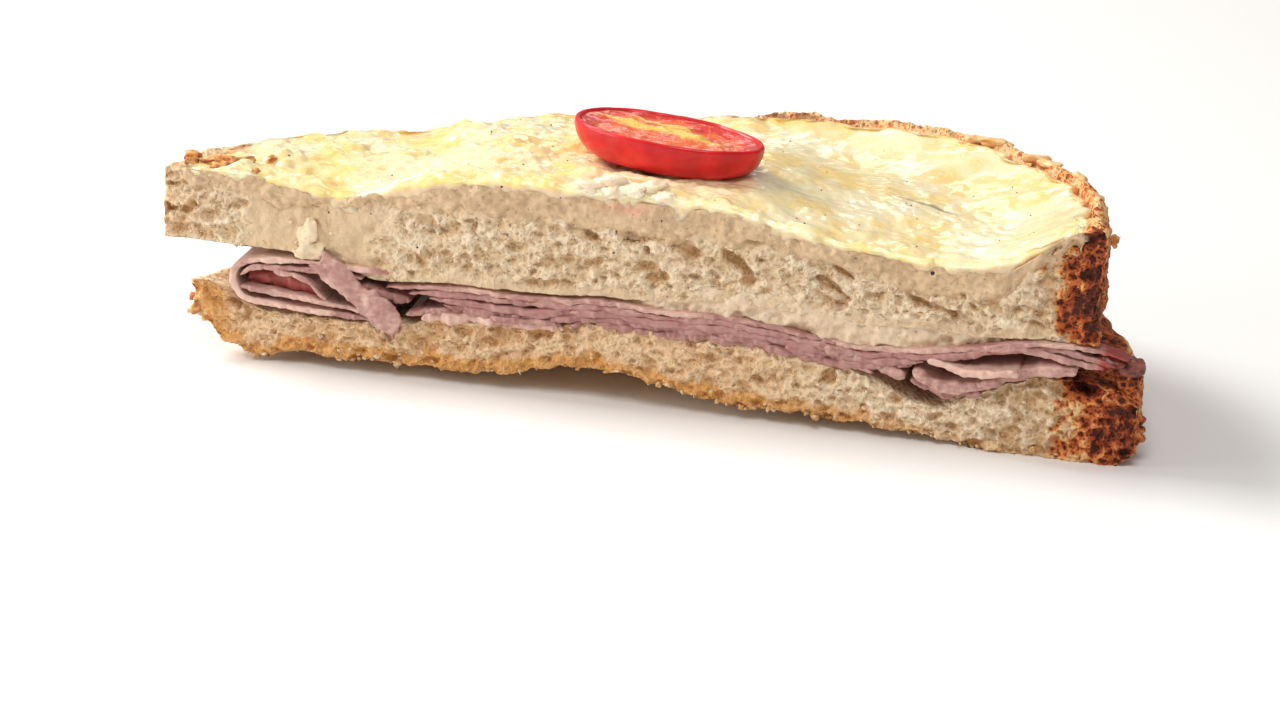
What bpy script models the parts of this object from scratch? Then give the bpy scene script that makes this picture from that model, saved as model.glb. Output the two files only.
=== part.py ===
"""Half a croque monsieur, as cut: two slices of bread with ham and bechamel between them, and
bechamel, melted cheese and half a small tomato on top.

The half lies on the underside of its lower slice. Its cut face stands in the plane y = 0 and looks
along -Y, the browned crust runs round the other side, and the dark thick end of the crust is at +X.
Lengths are in millimetres here and turn into metres when a mesh is made. Heights are measured from
the surface that the half rests on. The root empty then moves the whole half so that the middle of
its bounding box's underside is at the world's origin.
"""

import math
from dataclasses import dataclass

import bmesh
import bpy
from mathutils import Vector, noise

MM = 0.001
GAP = 0.34

# Plan of the slices, seen from above: half a long ellipse, deeper and squarer towards +X.
SQUARENESS_LEFT = 2.05
SQUARENESS_RIGHT = 2.35
UNEVENNESS = 0.012
WAVES_ROUND = 2.6

# Every layer of the upper slice is drawn on the same lines, so that the layers keep their gap.
COLUMNS = 30
ROWS = 10
SAUCE_COLUMNS = 26
SAUCE_ROWS = 9
LOWER_ROWS = 8
CRUST_LEVELS = (0.0, 0.14, 0.5, 0.86, 1.0)
CRUST_EDGE = 2.2

def step(value, start, end):
    """Rise smoothly from 0 at start to 1 at end, whichever of them is the larger."""
    share = min(max((value - start) / (end - start), 0.0), 1.0)
    return share * share * (3.0 - 2.0 * share)


def bump(value, centre, width):
    """Bell curve of height 1."""
    return math.exp(-((value - centre) / width) ** 2)


def mix(low, high, share):
    """Blend from low to high."""
    return low + (high - low) * share


def fade(y, reach):
    """Share of a feature of the cut that is left at depth y behind it."""
    return math.exp(-max(y, 0.0) / reach)


@dataclass(frozen=True)
class Ramp:
    """Smooth change of a height between two places."""

    start: float
    end: float
    rise: float = 1.0

    def at(self, x):
        """Height added at x."""
        return self.rise * step(x, self.start, self.end)


@dataclass(frozen=True)
class Hump:
    """Rounded swelling, or dip, of a height round one place."""

    centre: float
    width: float
    rise: float = 1.0

    def at(self, x):
        """Height added at x."""
        return self.rise * bump(x, self.centre, self.width)


# Underside of the lower slice: two feet, an arch between them and a tip that turns up.
LEFT_FOOT_EDGE = Ramp(-60.0, -54.0, 2.3)
RIGHT_FOOT_EDGE = Ramp(28.0, 56.0, -2.3)
ARCH_CROWN = Hump(-7.0, 12.0, 3.2)
TIP_UNDERSIDE = Ramp(-60.5, -64.5, 6.0)
UNDERSIDE = (LEFT_FOOT_EDGE, RIGHT_FOOT_EDGE, ARCH_CROWN, TIP_UNDERSIDE)

# Upper side of the lower slice, with the dips that the ham bulges down into.
LOWER_SLICE_TOP = 7.8
LEFT_STEP = Ramp(-39.0, -31.0, 1.9)
ARCH_BACK = Hump(-6.0, 8.0, 2.6)
MIDDLE_SWELL = Hump(12.0, 12.0, 2.0)
RIGHT_STEP = Ramp(47.0, 58.0, 2.4)
TIP_UPPER_SIDE = Ramp(-61.5, -65.5, 4.4)
LOWER_SLICE_BACK = (LEFT_STEP, ARCH_BACK, MIDDLE_SWELL, RIGHT_STEP, TIP_UPPER_SIDE)
HAM_DIPS = (Hump(40.5, 6.5, -4.6), Hump(66.0, 4.0, -1.2))
DIP_REACH = 22.0
DIP_AT_REAR = 0.35
CLOSED_OVER_HAM = Ramp(22.0, 40.0)

# Ham between the slices.
HAM_ROOF = 15.4
LEFT_FOLD_RISE = Ramp(-43.0, -49.0, 2.1)
FOLD_DIP = Hump(-39.5, 4.0, -1.0)
LEFT_BULGE = Hump(-7.0, 6.0, 0.9)
RIGHT_BULGE = Hump(10.0, 6.0, 0.5)
RIGHT_RISE = Ramp(43.0, 56.0, 2.3)
SAG = Hump(32.0, 9.0, -1.4)
ROOF_SHAPE = (LEFT_FOLD_RISE, FOLD_DIP, LEFT_BULGE, RIGHT_BULGE, RIGHT_RISE, SAG)
ROOF_WAVE = 0.3
ROOF_WAVE_LENGTH = 17.0
LEAST_HAM = 3.6
HAM_THICKNESS = 1.1
HAM_REACH = 0.93
END_REACH = 3.5
TORN_END = 0.8
TORN_WAVES = 9.0
FOLD_WAVE_LENGTH = 6.0
FOLD_WAVES_BACK = 3.0
TIP_DROOP = Ramp(64.0, 71.0)
THICK_TIP = Ramp(59.0, 62.0, 0.7)
BOWL = Hump(45.0, 5.5)
ON_SLICE = 0.2

# Upper slice and the bechamel under it.
UPPER_SLICE_TOP = 26.4
INNER_SAUCE = 1.0
THICKER_SAUCE = Ramp(-4.0, 26.0, 1.9)
SAUCE_ON_HAM = 0.02
CLOSED_EDGE = 0.02
LEFT_HOLLOW = Hump(-51.0, 8.0, -2.9)
LEFT_HOLLOW_REACH = 18.0
THICK_TOPPING = Ramp(18.0, 40.0, -3.8)
REAR_FALL = Ramp(16.0, 46.0, -3.4)
LEFT_OF_CRUST = Ramp(34.0, 8.0)
SLICE_SHARE_OF_FALL = 0.6
LEAST_SAUCE = 0.4

# Crust that stands up round the rear and the dark end of the upper slice.
CORNER_INSIDE = Ramp(0.80, 0.93, 9.4)
CORNER_ROUND = Ramp(0.65, 0.05)
REAR_INSIDE = Ramp(0.82, 0.95, 5.0)
REAR_LEFT_END = Ramp(1.9, 0.9)
REAR_RIGHT_END = Ramp(0.1, 0.6)
TOPPING_SHARE_OF_RIM = 0.72

# Bechamel and cheese on top.
TOPPING_EDGE_TOP = 28.7
HILL_LEFT = Ramp(-42.0, -26.0, 3.2)
HILL_RIGHT = Ramp(23.0, 11.0)
TOPPING_HOLLOW = Hump(-48.0, 6.0, -2.0)
TOPPING_HOLLOW_REACH = 12.0
LOW_RIGHT = Ramp(22.0, 42.0, -1.3)
RISE_BEHIND_CUT = Ramp(0.0, 12.0, 0.5)
CHEESE_THICKNESS = 2.0
THIN_CHEESE = Ramp(-40.0, -62.0, -0.8)
LEAST_CHEESE = 0.35
LARGE_LUMPS = (9.0, 0.82)
SMALL_LUMPS = (4.2, 0.52)

# Tomato half, lying with its cut side up.
TOMATO_CENTRE = Vector((-1.6, 15.8, 36.8))
TOMATO_RADII = Vector((14.4, 8.3, 5.4))
TOMATO_DISH = 0.7
TOMATO_LEAN = (math.radians(-2.5), math.radians(3.0), math.radians(-7.0))
TOMATO_CLEARANCE = 0.95
TOMATO_SEGMENTS = 28
TOMATO_RINGS = 12

# Torn flap of ham that hangs in front of the cut: its middle line, width and distance.
FLAP_TOP = Vector((-49.0, 17.2))
FLAP_FOOT = Vector((-37.6, 9.0))
FLAP_WIDTH = Vector((4.6, 3.0))
FLAP_SPREAD = (0.8, 1.15)
FLAP_FRONT = -1.7
FLAP_BACK = -0.5
FLAP_BELLY = 0.5
SCRAP_THICKNESS = 1.25

SHARP_ANGLE = math.radians(40.0)


@dataclass(frozen=True)
class Plan:
    """Outline of a slice seen from above, with the cut along y = 0."""

    centre: float
    half_length: float
    depth: float
    skew: float

    def point(self, p, q, grow=0.0):
        """Map (p, q) in [-1, 1] x [0, 1] to x, y, share of the radius and angle round the half."""
        share = max(abs(p), q)
        if share == 0.0:
            angle = 0.0
        elif abs(p) > q:
            angle = 0.25 * math.pi * q / abs(p)
            angle = angle if p > 0.0 else math.pi - angle
        else:
            angle = 0.25 * math.pi * (2.0 - p / q)
        squareness = SQUARENESS_RIGHT if p > 0.0 else SQUARENESS_LEFT
        cosine = math.copysign(abs(math.cos(angle)) ** (2.0 / squareness), math.cos(angle))
        sine = max(math.sin(angle), 0.0) ** (2.0 / squareness)
        wobble = 1.0 + UNEVENNESS * noise.noise(Vector((WAVES_ROUND * angle, self.centre, 4.0)))
        x = self.centre + share * wobble * (self.half_length + grow) * cosine
        y = share * wobble * (self.depth + grow) * sine * (1.0 + self.skew * share * cosine)
        return x, y, share, angle

    def depth_at(self, x):
        """Depth of the slice behind the cut at the given x."""
        along = (x - self.centre) / self.half_length
        if abs(along) >= 1.0:
            return 0.0
        squareness = SQUARENESS_RIGHT if along > 0.0 else SQUARENESS_LEFT
        sine = (1.0 - abs(along) ** squareness) ** (1.0 / squareness)
        return self.depth * sine * (1.0 + self.skew * along)


LOWER_PLAN = Plan(centre=0.7, half_length=69.2, depth=51.0, skew=0.20)
UPPER_PLAN = Plan(centre=-4.6, half_length=68.2, depth=52.0, skew=0.22)


def profile(x, features):
    """Sum of the features of a height at x."""
    return sum(feature.at(x) for feature in features)


def underside(x):
    """Height of the lower slice's underside."""
    return profile(x, UNDERSIDE)


def lower_top(x, y):
    """Height of the lower slice's upper side, with the dips where the ham bulges down."""
    height = LOWER_SLICE_TOP + profile(x, LOWER_SLICE_BACK)
    height += profile(x, HAM_DIPS) * mix(DIP_AT_REAR, 1.0, fade(y, DIP_REACH))
    closed = ham_roof(x, y) - LEAST_HAM
    return mix(height, max(height, closed), CLOSED_OVER_HAM.at(y))


def ham_roof(x, y):
    """Height of the top of the ham, on which the inner bechamel lies."""
    wave = ROOF_WAVE * noise.noise(Vector((x, y, 0.0)) / ROOF_WAVE_LENGTH)
    return HAM_ROOF + profile(x, ROOF_SHAPE) + wave


def inner_sauce_top(x, y):
    """Height of the inner bechamel's upper side."""
    return ham_roof(x, y) + INNER_SAUCE + THICKER_SAUCE.at(x)


def rim(share, angle):
    """Rise of the upper slice's crust above its crumb: high at the dark corner, low at the rear."""
    corner = CORNER_INSIDE.at(share) * CORNER_ROUND.at(angle)
    rear = REAR_INSIDE.at(share) * REAR_LEFT_END.at(angle) * REAR_RIGHT_END.at(angle)
    return corner + rear


def rear_fall(x, y):
    """Fall of the topping towards the rear, left of the dark crust."""
    return REAR_FALL.at(y) * LEFT_OF_CRUST.at(x)


def upper_top(x, y, share, angle):
    """Height of the upper slice's top, under the bechamel."""
    height = UPPER_SLICE_TOP + LEFT_HOLLOW.at(x) * fade(y, LEFT_HOLLOW_REACH)
    height += THICK_TOPPING.at(x) + SLICE_SHARE_OF_FALL * rear_fall(x, y)
    return height + rim(share, angle)


def topping_top(x, y, share, angle):
    """Height of the cheese's surface, without its lumps."""
    height = TOPPING_EDGE_TOP + HILL_LEFT.at(x) * HILL_RIGHT.at(x)
    height += TOPPING_HOLLOW.at(x) * fade(y, TOPPING_HOLLOW_REACH) + LOW_RIGHT.at(x)
    height += RISE_BEHIND_CUT.at(y) + rear_fall(x, y)
    return height + TOPPING_SHARE_OF_RIM * rim(share, angle)


def sauce_top(x, y, share, angle):
    """Height of the upper bechamel's top, under the cheese, which is thinner at the pale end."""
    height = topping_top(x, y, share, angle) - CHEESE_THICKNESS - THIN_CHEESE.at(x) - GAP
    return max(height, upper_top(x, y, share, angle) + GAP + LEAST_SAUCE)


def tomato_belly(x, y):
    """Height below which the cheese stays, under the tomato half."""
    across = (x - TOMATO_CENTRE.x) / (TOMATO_RADII.x + TOMATO_CLEARANCE)
    back = (y - TOMATO_CENTRE.y) / (TOMATO_RADII.y + TOMATO_CLEARANCE)
    outside = across * across + back * back
    if outside >= 1.0:
        return math.inf
    sag = (TOMATO_RADII.z + TOMATO_CLEARANCE) * math.sqrt(1.0 - outside)
    return TOMATO_CENTRE.z - sag


def cheese_lumps(x, y):
    """Relief of the melted, bubbled cheese."""
    height = 0.0
    for size, rise in (LARGE_LUMPS, SMALL_LUMPS):
        height += rise * noise.noise(Vector((x, y, 3.0)) / size)
    return height


def cheese_top(x, y, share, angle):
    """Height of the cheese's surface with its lumps and the hollow under the tomato half."""
    floor = sauce_top(x, y, share, angle) + GAP + LEAST_CHEESE
    height = topping_top(x, y, share, angle) + cheese_lumps(x, y)
    return max(min(height, tomato_belly(x, y)), floor)


def rounded(p, q, level):
    """Growth of a slice's outline at a level from 0 (its underside) to 1 (its top)."""
    if max(abs(p), q) < 0.999:
        return 0.0
    return -CRUST_EDGE * (1.0 - math.sqrt(max(1.0 - (2.0 * level - 1.0) ** 4, 0.0)))


def unit_block(columns, rows, levels):
    """Make a closed block over [-1, 1] x [0, 1] with the given levels, as a bmesh."""
    block = bmesh.new()
    bmesh.ops.create_grid(block, x_segments=columns, y_segments=rows, size=1.0)
    for vert in block.verts:
        vert.co.y = 0.5 * (vert.co.y + 1.0)
        vert.co.z = levels[0]
    cap = list(block.faces)
    for level in levels[1:]:
        grown = bmesh.ops.extrude_face_region(block, geom=cap, use_keep_orig=True)["geom"]
        if level != levels[1]:
            bmesh.ops.delete(block, geom=cap, context="FACES")
        cap = [item for item in grown if isinstance(item, bmesh.types.BMFace)]
        for vert in {vert for face in cap for vert in face.verts}:
            vert.co.z = level
    bmesh.ops.recalc_face_normals(block, faces=block.faces)
    return block


def add_object(name, mesh_data, material, root, collection):
    """Make a bmesh into an object of the collection, parented to the root."""
    mesh = bpy.data.meshes.new(name)
    mesh_data.to_mesh(mesh)
    mesh_data.free()
    mesh.materials.append(material)
    mesh.shade_smooth()
    mesh.set_sharp_from_angle(angle=SHARP_ANGLE)
    obj = bpy.data.objects.new(name, mesh)
    collection.objects.link(obj)
    obj.parent = root
    return obj


def slab(name, place, material, root, collection, columns, rows, levels=(0.0, 1.0)):
    """Make a layer from a block whose points go where place(p, q, level) says, in millimetres."""
    block = unit_block(columns, rows, levels)
    for vert in block.verts:
        vert.co = Vector(place(vert.co.x, vert.co.y, vert.co.z)) * MM
    return add_object(name, block, material, root, collection)


def bread_bottom_place(p, q, level):
    """Place a point of the lower slice."""
    x, y, _, _ = LOWER_PLAN.point(p, q, rounded(p, q, level))
    return x, y, mix(underside(x), lower_top(x, y), level)


def bread_top_place(p, q, level):
    """Place a point of the upper slice, whose crust closes over the edge of the inner bechamel."""
    x, y, share, angle = UPPER_PLAN.point(p, q, rounded(p, q, level))
    closed = step(max(abs(p), q), SAUCE_ROWS / ROWS + CLOSED_EDGE, 1.0)
    low = mix(inner_sauce_top(x, y), ham_roof(x, y), closed) + GAP
    return x, y, mix(low, upper_top(x, y, share, angle), level)


def inner_sauce_place(p, q, level):
    """Place a point of the bechamel between the ham and the upper slice."""
    x, y, _, _ = UPPER_PLAN.point(p * SAUCE_COLUMNS / COLUMNS, q * SAUCE_ROWS / ROWS)
    return x, y, mix(ham_roof(x, y) + SAUCE_ON_HAM, inner_sauce_top(x, y), level)


def upper_sauce_place(p, q, level):
    """Place a point of the bechamel under the cheese."""
    x, y, share, angle = UPPER_PLAN.point(p, q, rounded(p, q, 1.0))
    low = upper_top(x, y, share, angle) + GAP
    return x, y, mix(low, sauce_top(x, y, share, angle), level)


def cheese_place(p, q, level):
    """Place a point of the melted cheese."""
    x, y, share, angle = UPPER_PLAN.point(p, q, rounded(p, q, 1.0))
    low = sauce_top(x, y, share, angle) + GAP
    return x, y, mix(low, cheese_top(x, y, share, angle), level)


@dataclass(frozen=True)
class HamSheet:
    """A slice of ham that lies flat between two heights and runs back through the filling."""

    start: float
    end: float
    reach: float
    thickness: float
    tip: float = 0.0

    def spot(self, p, q):
        """Place a point of the sheet in plan, with uneven torn ends."""
        x = mix(self.start, self.end, 0.5 * (p + 1.0))
        depth = min(LOWER_PLAN.depth_at(x), UPPER_PLAN.depth_at(x))
        depth = max(self.reach * depth, END_REACH)
        ragged = TORN_END * noise.noise(Vector((TORN_WAVES * q, self.start, self.end)))
        return x + p * ragged, q * depth


def hung_sheet(sheet, drop):
    """Place function of a sheet that lies a given drop below the ham's top."""
    def place(p, q, level):
        x, y = sheet.spot(p, q)
        top = ham_roof(x, y) - GAP - drop - sheet.tip * TIP_DROOP.at(x)
        thickness = sheet.thickness + THICK_TIP.at(x)
        return x, y, top - thickness * (1.0 - level)
    return place


def laid_sheet(sheet, swell):
    """Place function of a sheet that lies on the lower slice, thicker by swell in its dip."""
    def place(p, q, level):
        x, y = sheet.spot(p, q)
        base = lower_top(x, y) + GAP + ON_SLICE
        thickness = sheet.thickness + swell * BOWL.at(x)
        return x, y, base + thickness * level
    return place


def fold_line(share, top, nose, bottom):
    """Point of a folded slice's middle line, from its upper leaf round the nose to its lower leaf."""
    radius = 0.5 * (top.y - bottom.y)
    middle = Vector((nose + radius, 0.5 * (top.y + bottom.y)))
    upper = top.x - middle.x
    curl = math.pi * radius
    lower = bottom.x - middle.x
    run = share * (upper + curl + lower)
    if run < upper:
        return Vector((top.x - run, top.y)), Vector((0.0, 1.0))
    if run < upper + curl:
        turn = (run - upper) / radius
        outward = Vector((-math.sin(turn), math.cos(turn)))
        return middle + radius * outward, outward
    return Vector((middle.x + run - upper - curl, bottom.y)), Vector((0.0, -1.0))


def fold_place(top, nose, bottom, depth, sag):
    """Place function of a folded slice of ham that runs back from the cut."""
    def place(p, q, level):
        point, outward = fold_line(0.5 * (p + 1.0), top, nose, bottom)
        point = point + outward * HAM_THICKNESS * (0.5 - level)
        rise = sag * noise.noise(Vector((point.x / FOLD_WAVE_LENGTH, FOLD_WAVES_BACK * q, 1.0)))
        return point.x, q * depth, point.y + rise
    return place


def flap_place(p, q, level):
    """Place a point of the torn flap that hangs in front of the cut, down and to the right."""
    along = 0.5 * (p + 1.0)
    middle = FLAP_TOP.lerp(FLAP_FOOT, along)
    across = FLAP_WIDTH * (q - 0.5) * mix(*FLAP_SPREAD, along)
    y = mix(FLAP_BACK, FLAP_FRONT, level) - FLAP_BELLY * math.sin(math.pi * along)
    return middle.x + across.x, y, middle.y + across.y


def scrap_place(start, end, base, rise, depth):
    """Place function of a small loose piece of ham in the pocket at the right."""
    def place(p, q, level):
        along = 0.5 * (p + 1.0)
        return mix(start, end, along), q * depth, base + rise * along + SCRAP_THICKNESS * level
    return place


def tomato(material, root, collection):
    """Make the tomato half: the lower half of an ellipsoid under a slightly dished cut face."""
    ball = bmesh.new()
    bmesh.ops.create_uvsphere(ball, u_segments=TOMATO_SEGMENTS, v_segments=TOMATO_RINGS, radius=1.0)
    for vert in ball.verts:
        radius = math.hypot(vert.co.x, vert.co.y)
        if vert.co.z > 0.0:
            vert.co.z = TOMATO_DISH / TOMATO_RADII.z * (radius ** 3 - 1.0)
        vert.co = Vector(a * b for a, b in zip(vert.co, TOMATO_RADII)) * MM
    half = add_object("tomato_half", ball, material, root, collection)
    half.location = TOMATO_CENTRE * MM
    half.rotation_euler = TOMATO_LEAN
    return half


def new_material(name, color, roughness):
    """Make a plain Principled material."""
    material = bpy.data.materials.new(name)
    material.use_nodes = True
    shader = material.node_tree.nodes["Principled BSDF"]
    shader.inputs["Base Color"].default_value = (*color, 1.0)
    shader.inputs["Roughness"].default_value = roughness
    shader.inputs["Metallic"].default_value = 0.0
    return material


def rest_offset(collection):
    """Move that puts the middle of the bounding box's underside at the origin."""
    bpy.context.view_layer.update()
    corners = [obj.matrix_world @ Vector(corner) for obj in collection.objects
               if obj.type == "MESH" for corner in obj.bound_box]
    low = Vector(min(corner[axis] for corner in corners) for axis in range(3))
    high = Vector(max(corner[axis] for corner in corners) for axis in range(3))
    return Vector((-0.5 * (low.x + high.x), -0.5 * (low.y + high.y), -low.z))


def main():
    """Build the half."""
    for obj in list(bpy.data.objects):
        bpy.data.objects.remove(obj, do_unlink=True)
    collection = bpy.data.collections.new("croque_monsieur")
    bpy.context.scene.collection.children.link(collection)
    root = bpy.data.objects.new("root", None)
    collection.objects.link(root)

    bread = new_material("bread", (0.70, 0.50, 0.30), 0.85)
    ham = new_material("ham", (0.62, 0.32, 0.32), 0.45)
    sauce = new_material("bechamel", (0.80, 0.68, 0.48), 0.5)
    cheese = new_material("cheese", (0.88, 0.68, 0.30), 0.35)
    red = new_material("tomato", (0.55, 0.04, 0.02), 0.25)
    home = (root, collection)

    slab("bread_bottom", bread_bottom_place, bread, *home, COLUMNS, LOWER_ROWS, CRUST_LEVELS)
    slab("bread_top", bread_top_place, bread, *home, COLUMNS, ROWS, CRUST_LEVELS)
    slab("bechamel_inner", inner_sauce_place, sauce, *home, SAUCE_COLUMNS, SAUCE_ROWS)
    slab("bechamel_top", upper_sauce_place, sauce, *home, COLUMNS, ROWS)
    slab("cheese_top", cheese_place, cheese, *home, COLUMNS, ROWS)

    top_sheet = HamSheet(start=-47.0, end=68.4, reach=HAM_REACH, thickness=HAM_THICKNESS, tip=1.6)
    middle_sheet = HamSheet(start=-36.0, end=40.5, reach=HAM_REACH, thickness=0.95)
    left_sheet = HamSheet(start=-36.0, end=-17.0, reach=0.5, thickness=1.2)
    right_sheet = HamSheet(start=40.0, end=62.0, reach=0.45, thickness=1.15)
    slab("ham_sheet_top", hung_sheet(top_sheet, 0.42), ham, *home, columns=32, rows=4)
    slab("ham_sheet_middle", hung_sheet(middle_sheet, 1.85), ham, *home, columns=22, rows=4)
    slab("ham_sheet_left", laid_sheet(left_sheet, 0.0), ham, *home, columns=8, rows=4)
    slab("ham_sheet_right", laid_sheet(right_sheet, 1.2), ham, *home, columns=14, rows=4)

    outer_fold = fold_place(
        top=Vector((-49.0, 16.0)), nose=-62.0, bottom=Vector((-38.5, 9.2)), depth=20.0, sag=0.2)
    inner_fold = fold_place(
        top=Vector((-51.0, 14.5)), nose=-60.3, bottom=Vector((-41.0, 10.7)), depth=18.0, sag=0.15)
    slab("ham_fold_outer", outer_fold, ham, *home, columns=30, rows=3)
    slab("ham_fold_inner", inner_fold, ham, *home, columns=26, rows=3)
    slab("ham_flap", flap_place, ham, *home, columns=8, rows=3)
    scrap_left = scrap_place(start=43.0, end=50.2, base=11.4, rise=0.9, depth=12.0)
    scrap_right = scrap_place(start=50.7, end=57.5, base=12.5, rise=1.4, depth=10.0)
    slab("ham_scrap_left", scrap_left, ham, *home, columns=4, rows=3)
    slab("ham_scrap_right", scrap_right, ham, *home, columns=4, rows=3)

    tomato(red, *home)
    root.location = rest_offset(collection)


main()
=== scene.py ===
"""Looks of half a croque monsieur: crumb, crust, bechamel, melted cheese, ham and half a small tomato.

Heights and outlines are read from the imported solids, so that every dressed piece lies where its solid
lies. Lengths in this file are millimetres, and turn into metres when a mesh is made. The cut face
stands at y = CUT and looks along -Y; "depth" is the distance behind it.
"""

import logging
import math
from abc import ABC, abstractmethod
from dataclasses import dataclass, field
from enum import Enum
from typing import Any, Callable

import bmesh
import bpy
import numpy as np
from mathutils import Matrix, Vector
from mathutils.bvhtree import BVHTree
from mathutils.geometry import convex_hull_2d


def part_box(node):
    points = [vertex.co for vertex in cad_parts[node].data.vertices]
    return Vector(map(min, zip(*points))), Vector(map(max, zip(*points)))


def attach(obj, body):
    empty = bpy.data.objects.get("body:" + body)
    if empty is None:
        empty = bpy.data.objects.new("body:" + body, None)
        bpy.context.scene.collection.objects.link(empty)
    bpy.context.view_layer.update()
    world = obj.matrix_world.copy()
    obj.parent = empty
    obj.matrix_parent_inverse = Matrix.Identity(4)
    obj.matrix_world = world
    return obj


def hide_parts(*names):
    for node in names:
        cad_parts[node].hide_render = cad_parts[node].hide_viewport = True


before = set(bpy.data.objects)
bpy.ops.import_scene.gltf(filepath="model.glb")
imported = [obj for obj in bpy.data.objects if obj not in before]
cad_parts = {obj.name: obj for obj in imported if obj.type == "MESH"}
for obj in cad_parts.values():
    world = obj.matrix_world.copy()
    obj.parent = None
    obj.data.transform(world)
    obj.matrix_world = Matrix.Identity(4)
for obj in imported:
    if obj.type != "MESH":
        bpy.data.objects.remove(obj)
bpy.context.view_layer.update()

MM = 0.001
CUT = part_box("bread_top")[0].y / MM
BODY = "root"
Array = np.ndarray
Triple = tuple[float, float, float]
Colour = Triple
Ramp = tuple[tuple[float, Colour], ...]
Line = list[tuple[float, float]]

log = logging.getLogger("croque_monsieur")


class Side(Enum):
    """Side of a solid from which its surface is surveyed."""

    TOP = 1
    BOTTOM = -1


class Slot(Enum):
    """Material slots of the record."""

    BREAD = "bread"
    BECHAMEL = "bechamel"
    CHEESE = "cheese"
    HAM = "ham"
    TOMATO = "tomato"


def smooth(value: Array | float, start: float, end: float) -> Array:
    """Rise smoothly from 0 at start to 1 at end, whichever of them is the larger."""
    share = np.clip((np.asarray(value, float) - start) / (end - start), 0.0, 1.0)
    return share * share * (3.0 - 2.0 * share)


def bell(value: Array | float, centre: float, width: float) -> Array:
    """Bell curve of height 1."""
    return np.exp(-(((np.asarray(value, float) - centre) / width) ** 2))


def blend(low: Array | float, high: Array | float, share: Array | float) -> Array:
    """Go from low to high as share goes from 0 to 1."""
    return low + (high - low) * share


class Noise:
    """Seeded smooth noise over points in millimetres, from about -1 to 1."""

    def __init__(self, seed: int) -> None:
        """Keep the seed that tells one noise from another."""
        self.seed = seed

    def _corner(self, x: Array, y: Array, z: Array) -> Array:
        """Value at whole-numbered lattice corners."""
        mixed = (x * 73856093) ^ (y * 19349663) ^ (z * 83492791) ^ (self.seed * 40503 + 977)
        mixed = mixed & 0xFFFFFFFF
        mixed = ((mixed ^ (mixed >> 15)) * 1274126177) & 0xFFFFFFFF
        mixed = ((mixed ^ (mixed >> 13)) * 1103515245) & 0xFFFFFFFF
        return ((mixed >> 8) & 0xFFFF) / 32767.5 - 1.0

    def at(self, x: Array, y: Array, z: Array, size: float) -> Array:
        """Noise at points.

        Args:
            x, y, z: Coordinates of the points.
            size: Distance over which the noise changes.

        Returns:
            One value a point.
        """
        spots = [np.asarray(value, float) / size for value in np.broadcast_arrays(x, y, z)]
        cells = [np.floor(spot).astype(np.int64) for spot in spots]
        rest = [spot - cell for spot, cell in zip(spots, cells)]
        shares = [r * r * r * (r * (r * 6.0 - 15.0) + 10.0) for r in rest]
        total = 0.0
        for dx in (0, 1):
            for dy in (0, 1):
                for dz in (0, 1):
                    weight = 1.0
                    for share, step in zip(shares, (dx, dy, dz)):
                        weight = weight * (share if step else 1.0 - share)
                    total = total + weight * self._corner(cells[0] + dx, cells[1] + dy, cells[2] + dz)
        return total

    def layers(self, x: Array, y: Array, z: Array, size: float, count: int = 3) -> Array:
        """Noise summed over finer and finer sizes, each half as strong as the one before."""
        total = 0.0
        for octave in range(count):
            shift = 17.3 * octave
            total = total + 0.5**octave * self.at(x + shift, y, z, size / 2.0**octave)
        return total


def soften(grid: Array, radius: float) -> Array:
    """Blur a grid by a bell of the given radius in cells."""
    if radius <= 0.0:
        return grid
    reach = max(int(3.0 * radius), 1)
    kernel = np.exp(-0.5 * (np.arange(-reach, reach + 1) / radius) ** 2)
    kernel /= kernel.sum()
    for axis in range(grid.ndim):
        pads = [(reach, reach) if a == axis else (0, 0) for a in range(grid.ndim)]
        padded = np.pad(grid, pads, mode="edge")
        grid = sum(
            weight * np.take(padded, range(i, i + grid.shape[axis]), axis=axis)
            for i, weight in enumerate(kernel)
        )
    return grid


@dataclass
class Grid:
    """Values over a regular grid of cells, read between its points."""

    low: tuple[float, float]
    cell: float
    values: Array

    def at(self, a: Array, b: Array) -> Array:
        """Value at places a, b, held constant beyond the grid."""
        rows, columns = self.values.shape
        u = np.clip((np.asarray(a, float) - self.low[0]) / self.cell, 0.0, rows - 1.001)
        v = np.clip((np.asarray(b, float) - self.low[1]) / self.cell, 0.0, columns - 1.001)
        i, j = u.astype(int), v.astype(int)
        u, v = u - i, v - j
        near = blend(self.values[i, j], self.values[i + 1, j], u)
        far = blend(self.values[i, j + 1], self.values[i + 1, j + 1], u)
        return blend(near, far, v)


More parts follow.
